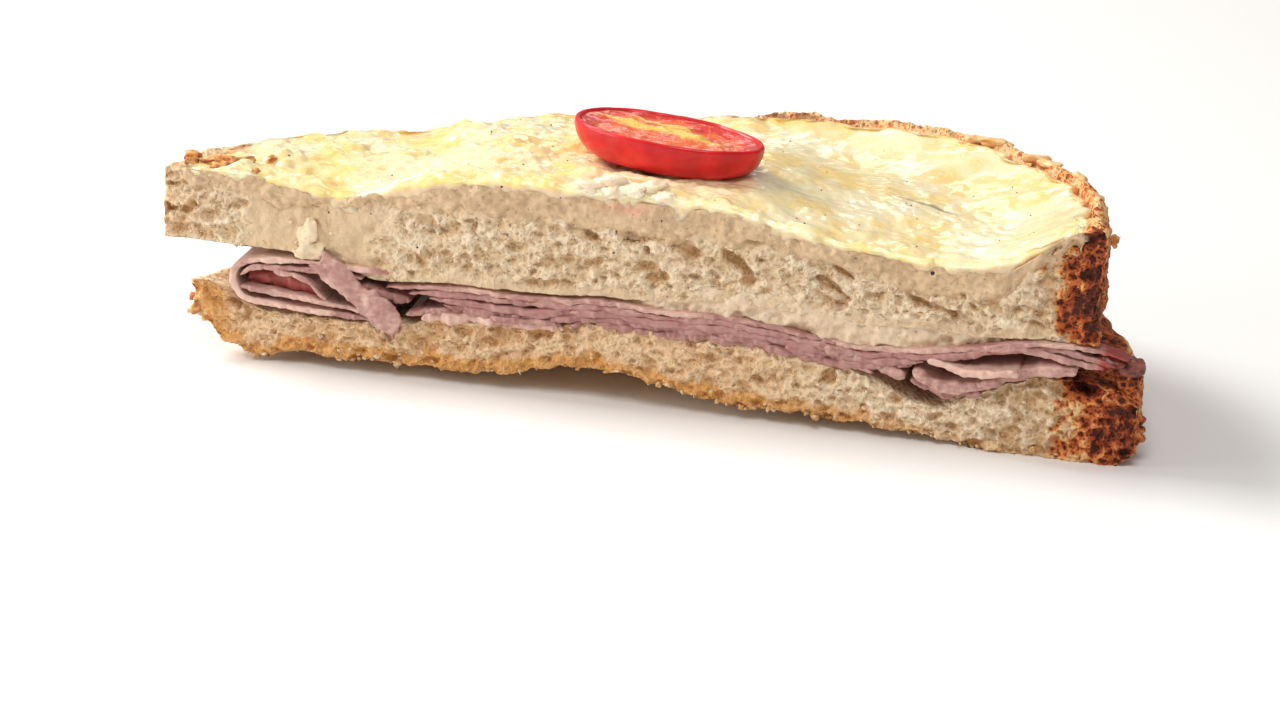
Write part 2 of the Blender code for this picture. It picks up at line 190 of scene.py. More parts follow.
class Outline:
    """Plan of a layer: a straight cut edge along y = CUT and a curved edge behind it."""

    CORNER = 0.3
    SMOOTHING = 9.0

    def __init__(self, points: Array) -> None:
        """Read the curved edge as a radius at each angle round the middle of the cut edge.

        Args:
            points: Plan points of the solid, one row each.
        """
        hull = points[convex_hull_2d([Vector(point) for point in points])]
        self.centre = 0.5 * (hull[:, 0].min() + hull[:, 0].max())
        steps = np.linspace(0.0, 1.0, 30)[:, None, None]
        edges = (hull + (np.roll(hull, -1, axis=0) - hull) * steps).reshape(-1, 2)
        edges = edges[edges[:, 1] > CUT + 0.05]
        angle = np.arctan2(edges[:, 1] - CUT, edges[:, 0] - self.centre)
        radius = np.hypot(edges[:, 1] - CUT, edges[:, 0] - self.centre)
        order = np.argsort(angle)
        self.angles = np.linspace(0.0, math.pi, 721)
        radii = np.interp(self.angles, angle[order], radius[order])
        mirrored = np.concatenate([radii[:0:-1], radii, radii[-2::-1]])
        count = len(radii)
        self.radii = soften(mirrored, self.SMOOTHING)[count - 1 : 2 * count - 1]

    def inset(self, x: Array, y: Array) -> Array:
        """Distance of points inside the curved edge, along the radius."""
        angle = np.clip(np.arctan2(y - CUT, x - self.centre), 0.0, math.pi)
        return np.interp(angle, self.angles, self.radii) - np.hypot(x - self.centre, y - CUT)

    def curve(self, count: int, grow: float) -> tuple[Array, Array]:
        """Points along the curved edge, from the right end to the left.

        Args:
            count: Number of points.
            grow: Distance by which the edge moves out.

        Returns:
            The points and their outward directions.
        """
        dense = np.stack(
            [
                self.centre + self.radii * np.cos(self.angles),
                CUT + self.radii * np.sin(self.angles),
            ],
            axis=1,
        )
        run = np.concatenate([[0.0], np.cumsum(np.linalg.norm(np.diff(dense, axis=0), axis=1))])
        places = np.linspace(self.CORNER, run[-1] - self.CORNER, count)
        points = np.stack([np.interp(places, run, dense[:, axis]) for axis in (0, 1)], axis=1)
        along = np.gradient(points, axis=0)
        outward = np.stack([along[:, 1], -along[:, 0]], axis=1)
        outward /= np.linalg.norm(outward, axis=1, keepdims=True)
        return points + grow * outward, outward

    def reach_at(self, x: Array) -> Array:
        """Depth of the curved edge behind the cut at places along it."""
        edge_x = self.centre + self.radii * np.cos(self.angles)
        return np.interp(x, edge_x[::-1], (self.radii * np.sin(self.angles))[::-1])

    def loop(self, count: int, grow: float = 0.0) -> tuple[Array, Array]:
        """Closed loop of 2 * count points: along the cut to the right, then back round the curve."""
        curve, outward = self.curve(count, grow)
        x = np.linspace(curve[-1, 0] + self.CORNER, curve[0, 0] - self.CORNER, count)
        cut = np.stack([x, np.full(count, CUT)], axis=1)
        ahead = np.tile([0.0, -1.0], (count, 1))
        return np.concatenate([cut, curve]), np.concatenate([ahead, outward])


class Survey:
    """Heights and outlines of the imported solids."""

    CELL = 1.25
    LOW = (-75.0, CUT - 2.5)
    SHAPE = (121, 52)
    FAR = 100.0

    def __init__(self) -> None:
        """Start with nothing surveyed."""
        self.trees: dict[str, BVHTree] = {}

    def corners(self, node: str) -> Array:
        """Vertices of a solid in millimetres."""
        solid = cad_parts[node]
        flat = np.empty(3 * len(solid.data.vertices))
        solid.data.vertices.foreach_get("co", flat)
        turned = np.array(solid.matrix_world.to_3x3())
        return (flat.reshape(-1, 3) @ turned.T + np.array(solid.matrix_world.translation)) / MM

    def tree(self, node: str) -> BVHTree:
        """Search tree over a solid's faces."""
        if node not in self.trees:
            faces = [tuple(face.vertices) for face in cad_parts[node].data.polygons]
            points = [Vector(point) for point in self.corners(node)]
            self.trees[node] = BVHTree.FromPolygons(points, faces)
        return self.trees[node]

    def heights(self, node: str, side: Side, blur: float = 1.1) -> Grid:
        """Heights of one side of a solid over the plan.

        Args:
            node: Name of the solid.
            side: Side that is surveyed.
            blur: Radius of the smoothing, in cells.

        Returns:
            Heights over a grid, filled out beyond the solid's own plan.
        """
        tree = self.tree(node)
        values = np.full(self.SHAPE, np.nan)
        ahead = Vector((0.0, 0.0, -float(side.value)))
        for i in range(self.SHAPE[0]):
            for j in range(self.SHAPE[1]):
                x = self.LOW[0] + self.CELL * i
                y = self.LOW[1] + self.CELL * j
                hit = tree.ray_cast(Vector((x, y, self.FAR * side.value)), ahead)[0]
                if hit is not None:
                    values[i, j] = hit.z
        return Grid(self.LOW, self.CELL, soften(self.filled(values), blur))

    @staticmethod
    def filled(values: Array) -> Array:
        """Spread known heights step by step over the cells that have none."""
        while np.isnan(values).any():
            padded = np.pad(values, 1, constant_values=np.nan)
            around = np.stack(
                [padded[2:, 1:-1], padded[:-2, 1:-1], padded[1:-1, 2:], padded[1:-1, :-2]]
            )
            known = ~np.isnan(around)
            count = known.sum(axis=0)
            mean = np.where(known, around, 0.0).sum(axis=0) / np.maximum(count, 1)
            values = np.where(np.isnan(values) & (count > 0), mean, values)
        return values

    def outline(self, node: str) -> Outline:
        """Plan of a solid."""
        return Outline(self.corners(node)[:, :2])


# ---- Materials ----


class Value:
    """Number that runs through a material's nodes; arithmetic on it adds Math nodes."""

    def __init__(self, graph: "Graph", socket: bpy.types.NodeSocket) -> None:
        """Wrap an output socket of a graph."""
        self.graph = graph
        self.socket = socket

    def math(self, operation: str, *others: "Value | float") -> "Value":
        """Result of a Math node on this value and others."""
        return self.join(operation, self, *others)

    def join(self, operation: str, *terms: "Value | float") -> "Value":
        """Result of a Math node on the given terms."""
        node = self.graph.add("ShaderNodeMath", {"operation": operation}, dict(enumerate(terms)))
        return Value(self.graph, node.outputs[0])

    def __add__(self, other: "Value | float") -> "Value":
        """Sum."""
        return self.math("ADD", other)

    __radd__ = __add__

    def __sub__(self, other: "Value | float") -> "Value":
        """Difference."""
        return self.math("SUBTRACT", other)

    def __rsub__(self, other: float) -> "Value":
        """Difference from a plain number."""
        return self.join("SUBTRACT", other, self)

    def __mul__(self, other: "Value | float") -> "Value":
        """Product."""
        return self.math("MULTIPLY", other)

    __rmul__ = __mul__

    def clamped(self) -> "Value":
        """The value held between 0 and 1."""
        return Value(self.graph, self.graph.add("ShaderNodeClamp", {}, {"Value": self}).outputs[0])

    def rise(self, start: float, end: float) -> "Value":
        """Smooth step from 0 at start to 1 at end."""
        sockets = {"Value": self, "From Min": start, "From Max": end}
        node = self.graph.add("ShaderNodeMapRange", {"interpolation_type": "SMOOTHSTEP"}, sockets)
        return Value(self.graph, node.outputs["Result"])


class Graph:
    """Node tree of one material, with the few kinds of node that the finishes use."""

    def __init__(self, name: str) -> None:
        """Make an empty material with its shader."""
        self.material = bpy.data.materials.new(name)
        self.material.use_nodes = True
        self.tree = self.material.node_tree
        self.shader = self.tree.nodes["Principled BSDF"]
        self.place = self.add("ShaderNodeTexCoord", {}, {}).outputs["Object"]

    def add(self, kind: str, settings: dict[str, Any], sockets: dict[Any, Any]) -> bpy.types.Node:
        """Add a node.

        Args:
            kind: Type of the node.
            settings: Attributes of the node, set before its sockets; stops are a ramp's.
            sockets: Values or links of its inputs, by name or number.

        Returns:
            The node.
        """
        node = self.tree.nodes.new(kind)
        for key, value in settings.items():
            if key == "stops":
                while len(node.color_ramp.elements) < len(value):
                    node.color_ramp.elements.new(1.0)
                for element, (position, colour) in zip(node.color_ramp.elements, value):
                    element.position = position
                    element.color = (*colour, 1.0)
            else:
                setattr(node, key, value)
        for key, value in sockets.items():
            self.feed(node.inputs[key], value)
        return node

    def feed(self, socket: bpy.types.NodeSocket, value: Any) -> None:
        """Give a socket a link, a colour or a number."""
        if isinstance(value, Value):
            self.tree.links.new(value.socket, socket)
        elif isinstance(value, bpy.types.NodeSocket):
            self.tree.links.new(value, socket)
        elif socket.type == "RGBA":
            socket.default_value = (*value, 1.0)
        else:
            socket.default_value = value

    def stretched(self, stretch: Triple) -> bpy.types.NodeSocket:
        """Place on the object, stretched along the axes."""
        sockets = {"Vector": self.place, "Scale": stretch}
        return self.add("ShaderNodeMapping", {"vector_type": "TEXTURE"}, sockets).outputs[0]

    def warped(self, size: float, push: float) -> bpy.types.NodeSocket:
        """Place on the object, pushed about in waves of a size, so that cells read there are uneven."""
        sockets = {"Vector": self.place, "Scale": 1.0 / (size * MM), "Detail": 2.0}
        waves = self.add("ShaderNodeTexNoise", {}, sockets).outputs["Color"]
        sockets = {0: waves, 1: (push * MM, push * MM, push * MM), 2: self.place}
        return self.add("ShaderNodeVectorMath", {"operation": "MULTIPLY_ADD"}, sockets).outputs[0]

    def noise(
        self, size: float, detail: float = 3.0, place: Any = None, twist: float = 0.0
    ) -> Value:
        """Noise from 0 to 1.

        Args:
            size: Size of its features in millimetres.
            detail: Number of finer layers.
            place: Vector that it is read at, or None for the place on the object.
            twist: Distortion.

        Returns:
            The noise.
        """
        sockets = {
            "Vector": place or self.place,
            "Scale": 1.0 / (size * MM),
            "Detail": detail,
            "Distortion": twist,
        }
        return Value(self, self.add("ShaderNodeTexNoise", {}, sockets).outputs[0])

    def cells(self, size: float, place: Any) -> Value:
        """Distance from the middle of scattered cells of a size, read at a place."""
        sockets = {"Vector": place, "Scale": 1.0 / (size * MM)}
        return Value(self, self.add("ShaderNodeTexVoronoi", {}, sockets).outputs["Distance"])

    def mark(self, name: str) -> Value:
        """Value that the mesh carries under a name."""
        return Value(self, self.add("ShaderNodeAttribute", {"attribute_name": name}, {}).outputs["Fac"])

    def mix(self, low: Any, high: Any, share: Value) -> bpy.types.NodeSocket:
        """Colour between two colours."""
        sockets = {0: share, 6: low, 7: high}
        return self.add("ShaderNodeMix", {"data_type": "RGBA"}, sockets).outputs[2]

    def ramp(self, value: Value, stops: Ramp) -> bpy.types.NodeSocket:
        """Colour read from a ramp."""
        return self.add("ShaderNodeValToRGB", {"stops": stops}, {0: value}).outputs[0]

    def relief(self, height: Value, depth: float, strength: float = 1.0, under: Any = None) -> Any:
        """Bump of a given depth in millimetres."""
        sockets = {"Height": height, "Distance": depth * MM, "Strength": strength}
        if under is not None:
            sockets["Normal"] = under
        return self.add("ShaderNodeBump", {}, sockets).outputs[0]

    def finish(self, linked: dict[str, Any], fixed: dict[str, Any]) -> bpy.types.Material:
        """Feed the shader: what varies over the surface, and what is the same all over it."""
        for key, value in {**linked, **fixed}.items():
            self.feed(self.shader.inputs[key], value)
        return self.material


class Finish(ABC):
    """Look of one kind of surface."""

    @abstractmethod
    def make(self) -> bpy.types.Material:
        """Make the material."""


def flesh_light(weight: float, radius: Colour, scale: float) -> dict[str, Any]:
    """Shader settings for light that soaks into food.

    Args:
        weight: Share of light that soaks in.
        radius: Reach of red, green and blue.
        scale: Length in millimetres that the reach is counted in.

    Returns:
        Values by socket.
    """
    return {
        "Subsurface Weight": weight,
        "Subsurface Radius": radius,
        "Subsurface Scale": scale * MM,
    }


def wet(weight: float, roughness: float) -> dict[str, Any]:
    """Shader settings for a wet or oily surface."""
    return {"Coat Weight": weight, "Coat Roughness": roughness}


@dataclass(frozen=True)
class BreadFinish(Finish):
    """Cream crumb that turns golden, orange and dark brown as it nears the crust."""

    name: str
    crumb: Colour = (0.95, 0.81, 0.60)
    shade: Colour = (0.80, 0.60, 0.39)
    # Colour inside the bubbles: partly the crumb's own darker tint, partly painted shade in the hollows.
    pore: Colour = (0.60, 0.36, 0.17)
    smear: Colour = (0.68, 0.49, 0.30)
    toast: Colour = (0.73, 0.37, 0.12)
    crust: Ramp = (
        (0.0, (0.84, 0.58, 0.29)),
        (0.28, (0.79, 0.38, 0.13)),
        (0.5, (0.61, 0.165, 0.042)),
        (0.75, (0.35, 0.06, 0.016)),
        (1.0, (0.08, 0.018, 0.008)),
    )

    def make(self) -> bpy.types.Material:
        """Make the material."""
        graph = Graph(self.name)
        broad = graph.noise(5.0, 3.0)
        fine = graph.noise(0.6, 3.0)
        pushed = graph.warped(1.3, 0.9)
        large = graph.cells(1.25, pushed).rise(0.1, 0.55)
        small = graph.cells(0.55, pushed).rise(0.1, 0.55)
        wall = large * 0.55 + small * 0.45
        pore = graph.mark("pore")
        smear = graph.mark("smear")
        loose = 1.0 - smear * 0.85
        colour = graph.mix(self.shade, self.crumb, (broad * 0.6 + fine * 0.7).rise(0.35, 0.85))
        # Darker inside the bubbles and inside the cells read here: partly the crumb's own tint, partly
        # painted shade in these hollows.
        pore_tint_and_shade = (pore * 0.8 + (1.0 - wall) * 0.5 * loose).clamped()
        colour = graph.mix(colour, self.pore, pore_tint_and_shade)
        colour = graph.mix(colour, self.smear, smear * (0.6 + fine * 0.5))
        toast = graph.mark("toast") * (broad * 0.6 + fine * 0.8)
        colour = graph.mix(colour, self.toast, toast.rise(0.1, 0.75))
        baked = graph.mark("crust")
        spots = graph.noise(1.0, 4.0)
        # The crust is darker in the bubbles and between the cells' walls: partly its own colour, partly
        # painted shade in the hollows.
        tone = baked * 0.8 + pore * 0.55 + (0.6 - wall) * 0.8 + (spots - 0.5) * 0.6
        colour = graph.mix(colour, graph.ramp(tone, self.crust), baked.rise(0.05, 0.3))
        grain = graph.noise(0.28, 3.0)
        normal = graph.relief(grain * 0.35 + wall * loose, 0.4, 1.0)
        rough = (0.9 - baked * 0.25 - smear * 0.2).clamped()
        return graph.finish(
            {"Base Color": colour, "Roughness": rough, "Normal": normal},
            {"Specular IOR Level": 0.35, **flesh_light(0.15, (1.0, 0.7, 0.4), 0.35)},
        )


@dataclass(frozen=True)
class SauceFinish(Finish):
    """Set bechamel: smooth, beige and a little wet, with small pits."""

    name: str
    pale: Colour = (0.75, 0.54, 0.33)
    deep: Colour = (0.52, 0.34, 0.19)
    blush: Colour = (0.72, 0.36, 0.24)

    def make(self) -> bpy.types.Material:
        """Make the material."""
        graph = Graph(self.name)
        broad = graph.noise(4.0, 3.0)
        fine = graph.noise(0.8, 3.0)
        pits = graph.cells(1.0, graph.warped(1.1, 0.8)).rise(0.05, 0.28)
        colour = graph.mix(self.deep, self.pale, (broad * 0.6 + fine * 0.6).rise(0.38, 0.8))
        # Darker towards the middle of each pit: painted shade in the pits.
        colour = graph.mix(self.deep, colour, 0.5 + pits * 0.5)
        colour = graph.mix(colour, self.blush, graph.mark("blush"))
        normal = graph.relief(pits * 0.6 + fine * 0.6, 0.3, 0.8)
        normal = graph.relief(graph.noise(0.25, 3.0), 0.05, 0.6, normal)
        rough = 0.42 + broad * 0.22
        return graph.finish(
            {"Base Color": colour, "Roughness": rough, "Normal": normal},
            {**wet(0.2, 0.22), **flesh_light(0.2, (1.0, 0.75, 0.45), 0.5)},
        )


@dataclass(frozen=True)
class CheeseFinish(Finish):
    """Melted cheese: pale yellow with whiter and deeper patches, browned in places."""

    name: str
    white: Colour = (0.96, 0.85, 0.64)
    pale: Colour = (0.96, 0.80, 0.50)
    yellow: Colour = (0.94, 0.67, 0.24)
    golden: Colour = (0.86, 0.54, 0.15)
    edge: Colour = (0.82, 0.62, 0.38)
    brown: Ramp = (
        (0.0, (0.90, 0.60, 0.22)),
        (0.35, (0.86, 0.42, 0.12)),
        (0.7, (0.58, 0.19, 0.05)),
        (1.0, (0.20, 0.06, 0.03)),
    )

    def make(self) -> bpy.types.Material:
        """Make the material."""
        graph = Graph(self.name)
        broad = graph.noise(11.0, 3.0, twist=0.3)
        middle = graph.noise(4.2, 4.0, twist=0.3)
        fine = graph.noise(0.8, 3.0)
        hollow = graph.mark("hollow")
        tone = broad * 1.1 + middle * 0.7 + hollow * 0.25
        colour = graph.mix(self.pale, self.yellow, tone.rise(0.78, 1.15))
        curd = (middle * 0.7 + fine * 0.6 - broad * 0.4).rise(0.48, 0.70)
        colour = graph.mix(colour, self.white, curd * 0.9)
        colour = graph.mix(colour, self.golden, (hollow * 0.5 + middle * 0.7).rise(0.68, 0.95) * 0.55)
        lip = graph.mark("lip")
        colour = graph.mix(colour, self.golden, (lip * (middle + fine)).rise(0.9, 1.4) * 0.5)
        colour = graph.mix(colour, self.edge, (lip + (fine - 0.5) * 0.8).rise(0.5, 1.0))
        browned = graph.mark("brown")
        scorch = browned + (middle - 0.5) * 0.7 + (fine - 0.5) * 0.5
        colour = graph.mix(colour, graph.ramp(scorch, self.brown), browned.rise(0.05, 0.45))
        normal = graph.relief(middle * 0.5 + fine * 0.6, 0.16, 0.6)
        normal = graph.relief(graph.noise(0.35, 2.0), 0.05, 0.7, normal)
        rough = 0.22 + broad * 0.2 + browned * 0.3
        return graph.finish(
            {"Base Color": colour, "Roughness": rough, "Normal": normal},
            {**wet(0.7, 0.08), **flesh_light(0.6, (1.0, 0.7, 0.35), 2.2)},
        )


@dataclass(frozen=True)
class HamFinish(Finish):
    """Cooked ham: mauve pink with paler fatty parts, fine fibres and a moist surface; some leaves are
    painted paler or darker as painted light and shade.
    """

    name: str
    pink: Colour = (0.49, 0.265, 0.235)
    deep: Colour = (0.38, 0.16, 0.14)
    pale: Colour = (0.76, 0.51, 0.42)
    # Dark red used for painted shade on ham that lies set back: in the pocket of the fold and behind the
    # knot's nose.
    red: Colour = (0.34, 0.04, 0.03)

    def make(self) -> bpy.types.Material:
        """Make the material."""
        graph = Graph(self.name)
        broad = graph.noise(4.5, 3.0, twist=0.5)
        fibre = graph.noise(0.9, 4.0, graph.stretched((1.8, 1.0, 0.7)))
        grain = graph.noise(0.45, 3.0)
        colour = graph.mix(self.deep, self.pink, (broad * 0.7 + fibre * 0.6).rise(0.35, 0.9))
        # Paler by the pale mark: partly the ham's fatty parts, partly painted light, as leaves painted lit
        # get more of it and leaves painted in shade get less.
        fat_and_painted_light = graph.mark("pale") + (fibre - 0.5) * 0.6 + (grain - 0.5) * 0.4
        colour = graph.mix(colour, self.pale, fat_and_painted_light.rise(0.2, 0.9))
        # Darker red by the dark mark: painted shade.
        colour = graph.mix(colour, self.red, graph.mark("dark").rise(0.1, 0.9))
        normal = graph.relief(fibre * 0.4 + grain * 0.5, 0.18, 0.7)
        rough = 0.34 + broad * 0.2
        return graph.finish(
            {"Base Color": colour, "Roughness": rough, "Normal": normal},
            {**wet(0.25, 0.2), **flesh_light(0.25, (1.0, 0.45, 0.35), 0.5)},
        )


@dataclass(frozen=True)
class TomatoSkinFinish(Finish):
    """Glossy deep red skin."""

    name: str = "tomato_skin"
    red: Colour = (0.56, 0.003, 0.008)
    bright: Colour = (0.76, 0.010, 0.014)

    def make(self) -> bpy.types.Material:
        """Make the material."""
        graph = Graph(self.name)
        broad = graph.noise(4.0, 3.0)
        colour = graph.mix(self.red, self.bright, broad.rise(0.4, 0.75))
        normal = graph.relief(graph.noise(0.9, 3.0), 0.08, 0.35)
        return graph.finish(
            {"Base Color": colour, "Normal": normal},
            {
                "Roughness": 0.45,
                "Specular IOR Level": 0.3,
                **wet(0.35, 0.07),
                **flesh_light(0.2, (1.0, 0.12, 0.06), 0.8),
            },
        )


@dataclass(frozen=True)
class TomatoFleshFinish(Finish):
    """Wet baked flesh with a yellow-orange core."""

    name: str = "tomato_flesh"
    red: Colour = (0.86, 0.16, 0.05)
    deep: Colour = (0.66, 0.04, 0.025)
    core: Colour = (0.97, 0.56, 0.11)

    def make(self) -> bpy.types.Material:
        """Make the material."""
        graph = Graph(self.name)
        broad = graph.noise(3.0, 4.0, twist=0.8)
        streak = graph.noise(1.0, 4.0, graph.stretched((3.5, 1.0, 1.0)), twist=0.8)
        colour = graph.mix(self.red, self.deep, (broad + graph.mark("rim") * 0.5).rise(0.45, 0.75))
        core = graph.mark("core") + (streak - 0.5) * 1.3
        colour = graph.mix(colour, self.core, core.rise(0.3, 0.8))
        normal = graph.relief(streak * 0.9 + graph.noise(0.5, 3.0) * 0.5, 0.5, 0.8)
        return graph.finish(
            {"Base Color": colour, "Normal": normal},
            {
                "Roughness": 0.3,
                **wet(0.6, 0.05),
                **flesh_light(0.25, (1.0, 0.25, 0.08), 0.9),
            },
        )


@dataclass(frozen=True)
class BitFinish(Finish):
    """Plain finish of small scattered bits, mottled between two colours."""

    name: str
    light: Colour
    dark: Colour
    roughness: float = 0.7
    size: float = 0.5

    def make(self) -> bpy.types.Material:
        """Make the material."""
        graph = Graph(self.name)
        spots = graph.noise(self.size, 3.0)
        colour = graph.mix(self.dark, self.light, spots.rise(0.35, 0.7))
        normal = graph.relief(graph.noise(0.2, 3.0), 0.08, 0.6)
        return graph.finish({"Base Color": colour, "Normal": normal}, {"Roughness": self.roughness})


# ---- Meshes ----


@dataclass
class Piece:
    """Mesh of one finished piece, and what it stands for."""

    name: str
    points: Array
    faces: Array
    finish: Finish
    slot: Slot
    replaces: tuple[str, ...] = ()
    marks: dict[str, Array] = field(default_factory=dict)

    def place(self) -> bpy.types.Object:
        """Make the object, dress it and let it ride on the body."""
        mesh = bpy.data.meshes.new(self.name)
        mesh.vertices.add(len(self.points))
        mesh.vertices.foreach_set("co", (self.points * MM).astype(np.float32).ravel())
        sides = self.faces.shape[1]
        mesh.loops.add(self.faces.size)
        mesh.loops.foreach_set("vertex_index", self.faces.astype(np.int32).ravel())
        mesh.polygons.add(len(self.faces))
        mesh.polygons.foreach_set("loop_start", np.arange(0, self.faces.size, sides, dtype=np.int32))
        mesh.update(calc_edges=True)
        for key, values in self.marks.items():
            mark = mesh.attributes.new(key, "FLOAT", "POINT")
            mark.data.foreach_set("value", values.astype(np.float32).ravel())
        mesh.validate()
        mesh.shade_smooth()
        mesh.materials.append(self.finish.make())
        piece = bpy.data.objects.new(self.name, mesh)
        bpy.context.scene.collection.objects.link(piece)
        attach(piece, BODY)
        if self.replaces:
            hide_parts(*self.replaces)
        log.info("%s: %d triangles", self.name, 2 * len(self.faces) if sides == 4 else len(self.faces))
        return piece


def lattice_faces(rows: int, columns: int) -> Array:
    """Faces of a closed body of rows of points that each run round it.

    Args:
        rows: Number of rows, from the first end to the last.
        columns: Even number of points in a row; point i lies across from point columns - 1 - i.

    Returns:
        Four corners a face, the first and last row closed by a strip across them.
    """
    row = np.arange(rows - 1)[:, None] * columns
    column = np.arange(columns)[None, :]
    after = (column + 1) % columns
    wall = np.stack([row + column, row + after, row + columns + after, row + columns + column], axis=-1)
    near = np.arange(columns // 2 - 1)
    far = columns - 1 - near
    last = np.stack([near, near + 1, far - 1, far], axis=-1)
    first = last[:, ::-1]
    return np.concatenate([wall.reshape(-1, 4), first, last + (rows - 1) * columns])


def place_lattice(
    name: str,
    points: Array,
    finish: Finish,
    slot: Slot,
    replaces: tuple[str, ...],
    marks: dict[str, Array] | None = None,
) -> bpy.types.Object:
    """Make the piece whose points stand in rows that each run round it."""
    faces = lattice_faces(*points.shape[:2])
    return Piece(name, points.reshape(-1, 3), faces, finish, slot, replaces, marks or {}).place()


@dataclass
class Rows:
    """Points of a layer before its relief: one row of points runs round the layer."""

    x: Array
    y: Array
    z: Array
    share: Array
    level: Array
    inward: Array
    outward: Array
    front: Array
    thickness: Array

    @property
    def depth(self) -> Array:
        """Distance behind the cut."""
        return self.y - CUT

    @property
    def over_foot(self) -> Array:
        """Distance above the lower edge of the wall."""
        return self.level * self.thickness

    @property
    def under_top(self) -> Array:
        """Distance below the upper edge of the wall."""
        return (1.0 - self.level) * self.thickness

    @property
    def cut(self) -> Array:
        """1 on the cut face and 0 elsewhere."""
        return self.front * (self.inward < 0.01)


@dataclass
class Layer(ABC):
    """Layer of the half: rows run from the middle of its underside, up its edge and over its top."""

    name: str
    outline: Outline
    finish: Finish
    slot: Slot
    replaces: tuple[str, ...]
    columns: int = 480
    under_rows: int = 7
    wall_rows: int = 40
    top_rows: int = 8
    grow: float = 0.0
    rounding: float = 2.2
    face: Array = field(default=None, init=False)

    LAST = 0.985
    SPINE = 0.62
    SPINE_DEPTH = 0.47
    CROWDING = 1.35
    EVEN_ROWS = 20
    WALL_EASE = 0.3
    CORNER_FADE = (0.5, 7.0)
    RELIEF_REACH = 0.6

    @abstractmethod
    def low(self, x: Array, y: Array) -> Array:
        """Height of the underside."""

    @abstractmethod
    def high(self, x: Array, y: Array) -> Array:
        """Height of the top."""

    @abstractmethod
    def swell(self, rows: Rows) -> Array:
        """Distance by which the edge stands out."""

    def lift(self, rows: Rows) -> Array:
        """Distance by which points rise."""
        return np.zeros_like(rows.x)

    @abstractmethod
    def marks(self, rows: Rows) -> dict[str, Array]:
        """Values that the material reads."""

    def rows(self) -> Rows:
        """Lay out the plain rows."""
        edge, outward = self.outline.loop(self.columns, self.grow)
        spine_x = self.outline.centre + self.SPINE * (edge[: self.columns, 0] - self.outline.centre)
        spine_y = CUT + self.SPINE_DEPTH * self.outline.reach_at(spine_x)
        spine_x = np.concatenate([spine_x, spine_x[::-1]])
        spine_y = np.concatenate([spine_y, spine_y[::-1]])
        under = np.linspace(self.LAST, 0.0, self.under_rows, endpoint=False) ** self.CROWDING
        top = np.linspace(0.0, self.LAST, self.top_rows + 1)[1:]
        top = top if self.top_rows > self.EVEN_ROWS else top**self.CROWDING
        turn = 0.5 - 0.5 * np.cos(np.linspace(0.0, math.pi, self.wall_rows))
        wall = blend(np.linspace(0.0, 1.0, self.wall_rows), turn, self.WALL_EASE)
        share = np.concatenate([under, np.zeros(self.wall_rows), top])[:, None]
        level = np.concatenate([np.zeros(self.under_rows), wall, np.ones(self.top_rows)])[:, None]
        front = np.concatenate([np.ones(self.columns), np.zeros(self.columns)])[None, :]
        inset = self.rounding * (1.0 - np.sqrt(np.maximum(1.0 - (2.0 * level - 1.0) ** 4, 0.0)))
        corners = edge[[0, self.columns - 1]]
        apart = np.linalg.norm(edge[None, :, :] - corners[:, None, :], axis=2).min(axis=0)
        inset = inset * (1.0 - front) * (1.0 - share) * smooth(apart, *self.CORNER_FADE)
        x = blend(edge[:, 0], spine_x, share) - inset * outward[:, 0]
        y = blend(edge[:, 1], spine_y, share) - inset * outward[:, 1]
        reach = np.hypot(edge[:, 0] - spine_x, edge[:, 1] - spine_y)
        low = self.low(x, y)
        z = blend(low, self.high(x, y), level)
        ones = np.ones_like(z)
        normals = np.broadcast_to(outward, (*z.shape, 2))
        foot = self.under_rows
        thickness = (z[foot + self.wall_rows - 1] - z[foot]) * ones
        return Rows(
            x, y, z, share * ones, level * ones, share * reach, normals, front * ones, thickness
        )

    def build(self) -> bpy.types.Object:
        """Shape the rows, mark them and make the piece."""
        rows = self.rows()
        marks = self.marks(rows)
        swell = self.swell(rows) * np.exp(-rows.inward / self.RELIEF_REACH)
        x = rows.x + swell * rows.outward[..., 0]
        y = rows.y + swell * rows.outward[..., 1]
        points = np.stack([x, y, rows.z + self.lift(rows)], axis=-1)
        self.face = points[rows.cut > 0.5]
        return place_lattice(self.name, points, self.finish, self.slot, self.replaces, marks)

    def face_at(self, x: float, z: float) -> float:
        """Place of the finished cut face in front of the axis, at a place on the cut."""
        span = np.hypot(self.face[:, 0] - x, self.face[:, 2] - z)
        return float(self.face[np.argmin(span), 1])


@dataclass(frozen=True)
class Pore:
    """Bubble in the crumb: its middle on the cut, its half widths, how deep and how slanted it is."""

    x: float
    z: float
    length: float
    height: float
    depth: float
    slant: float = 0.0
    offset: float = 0.2


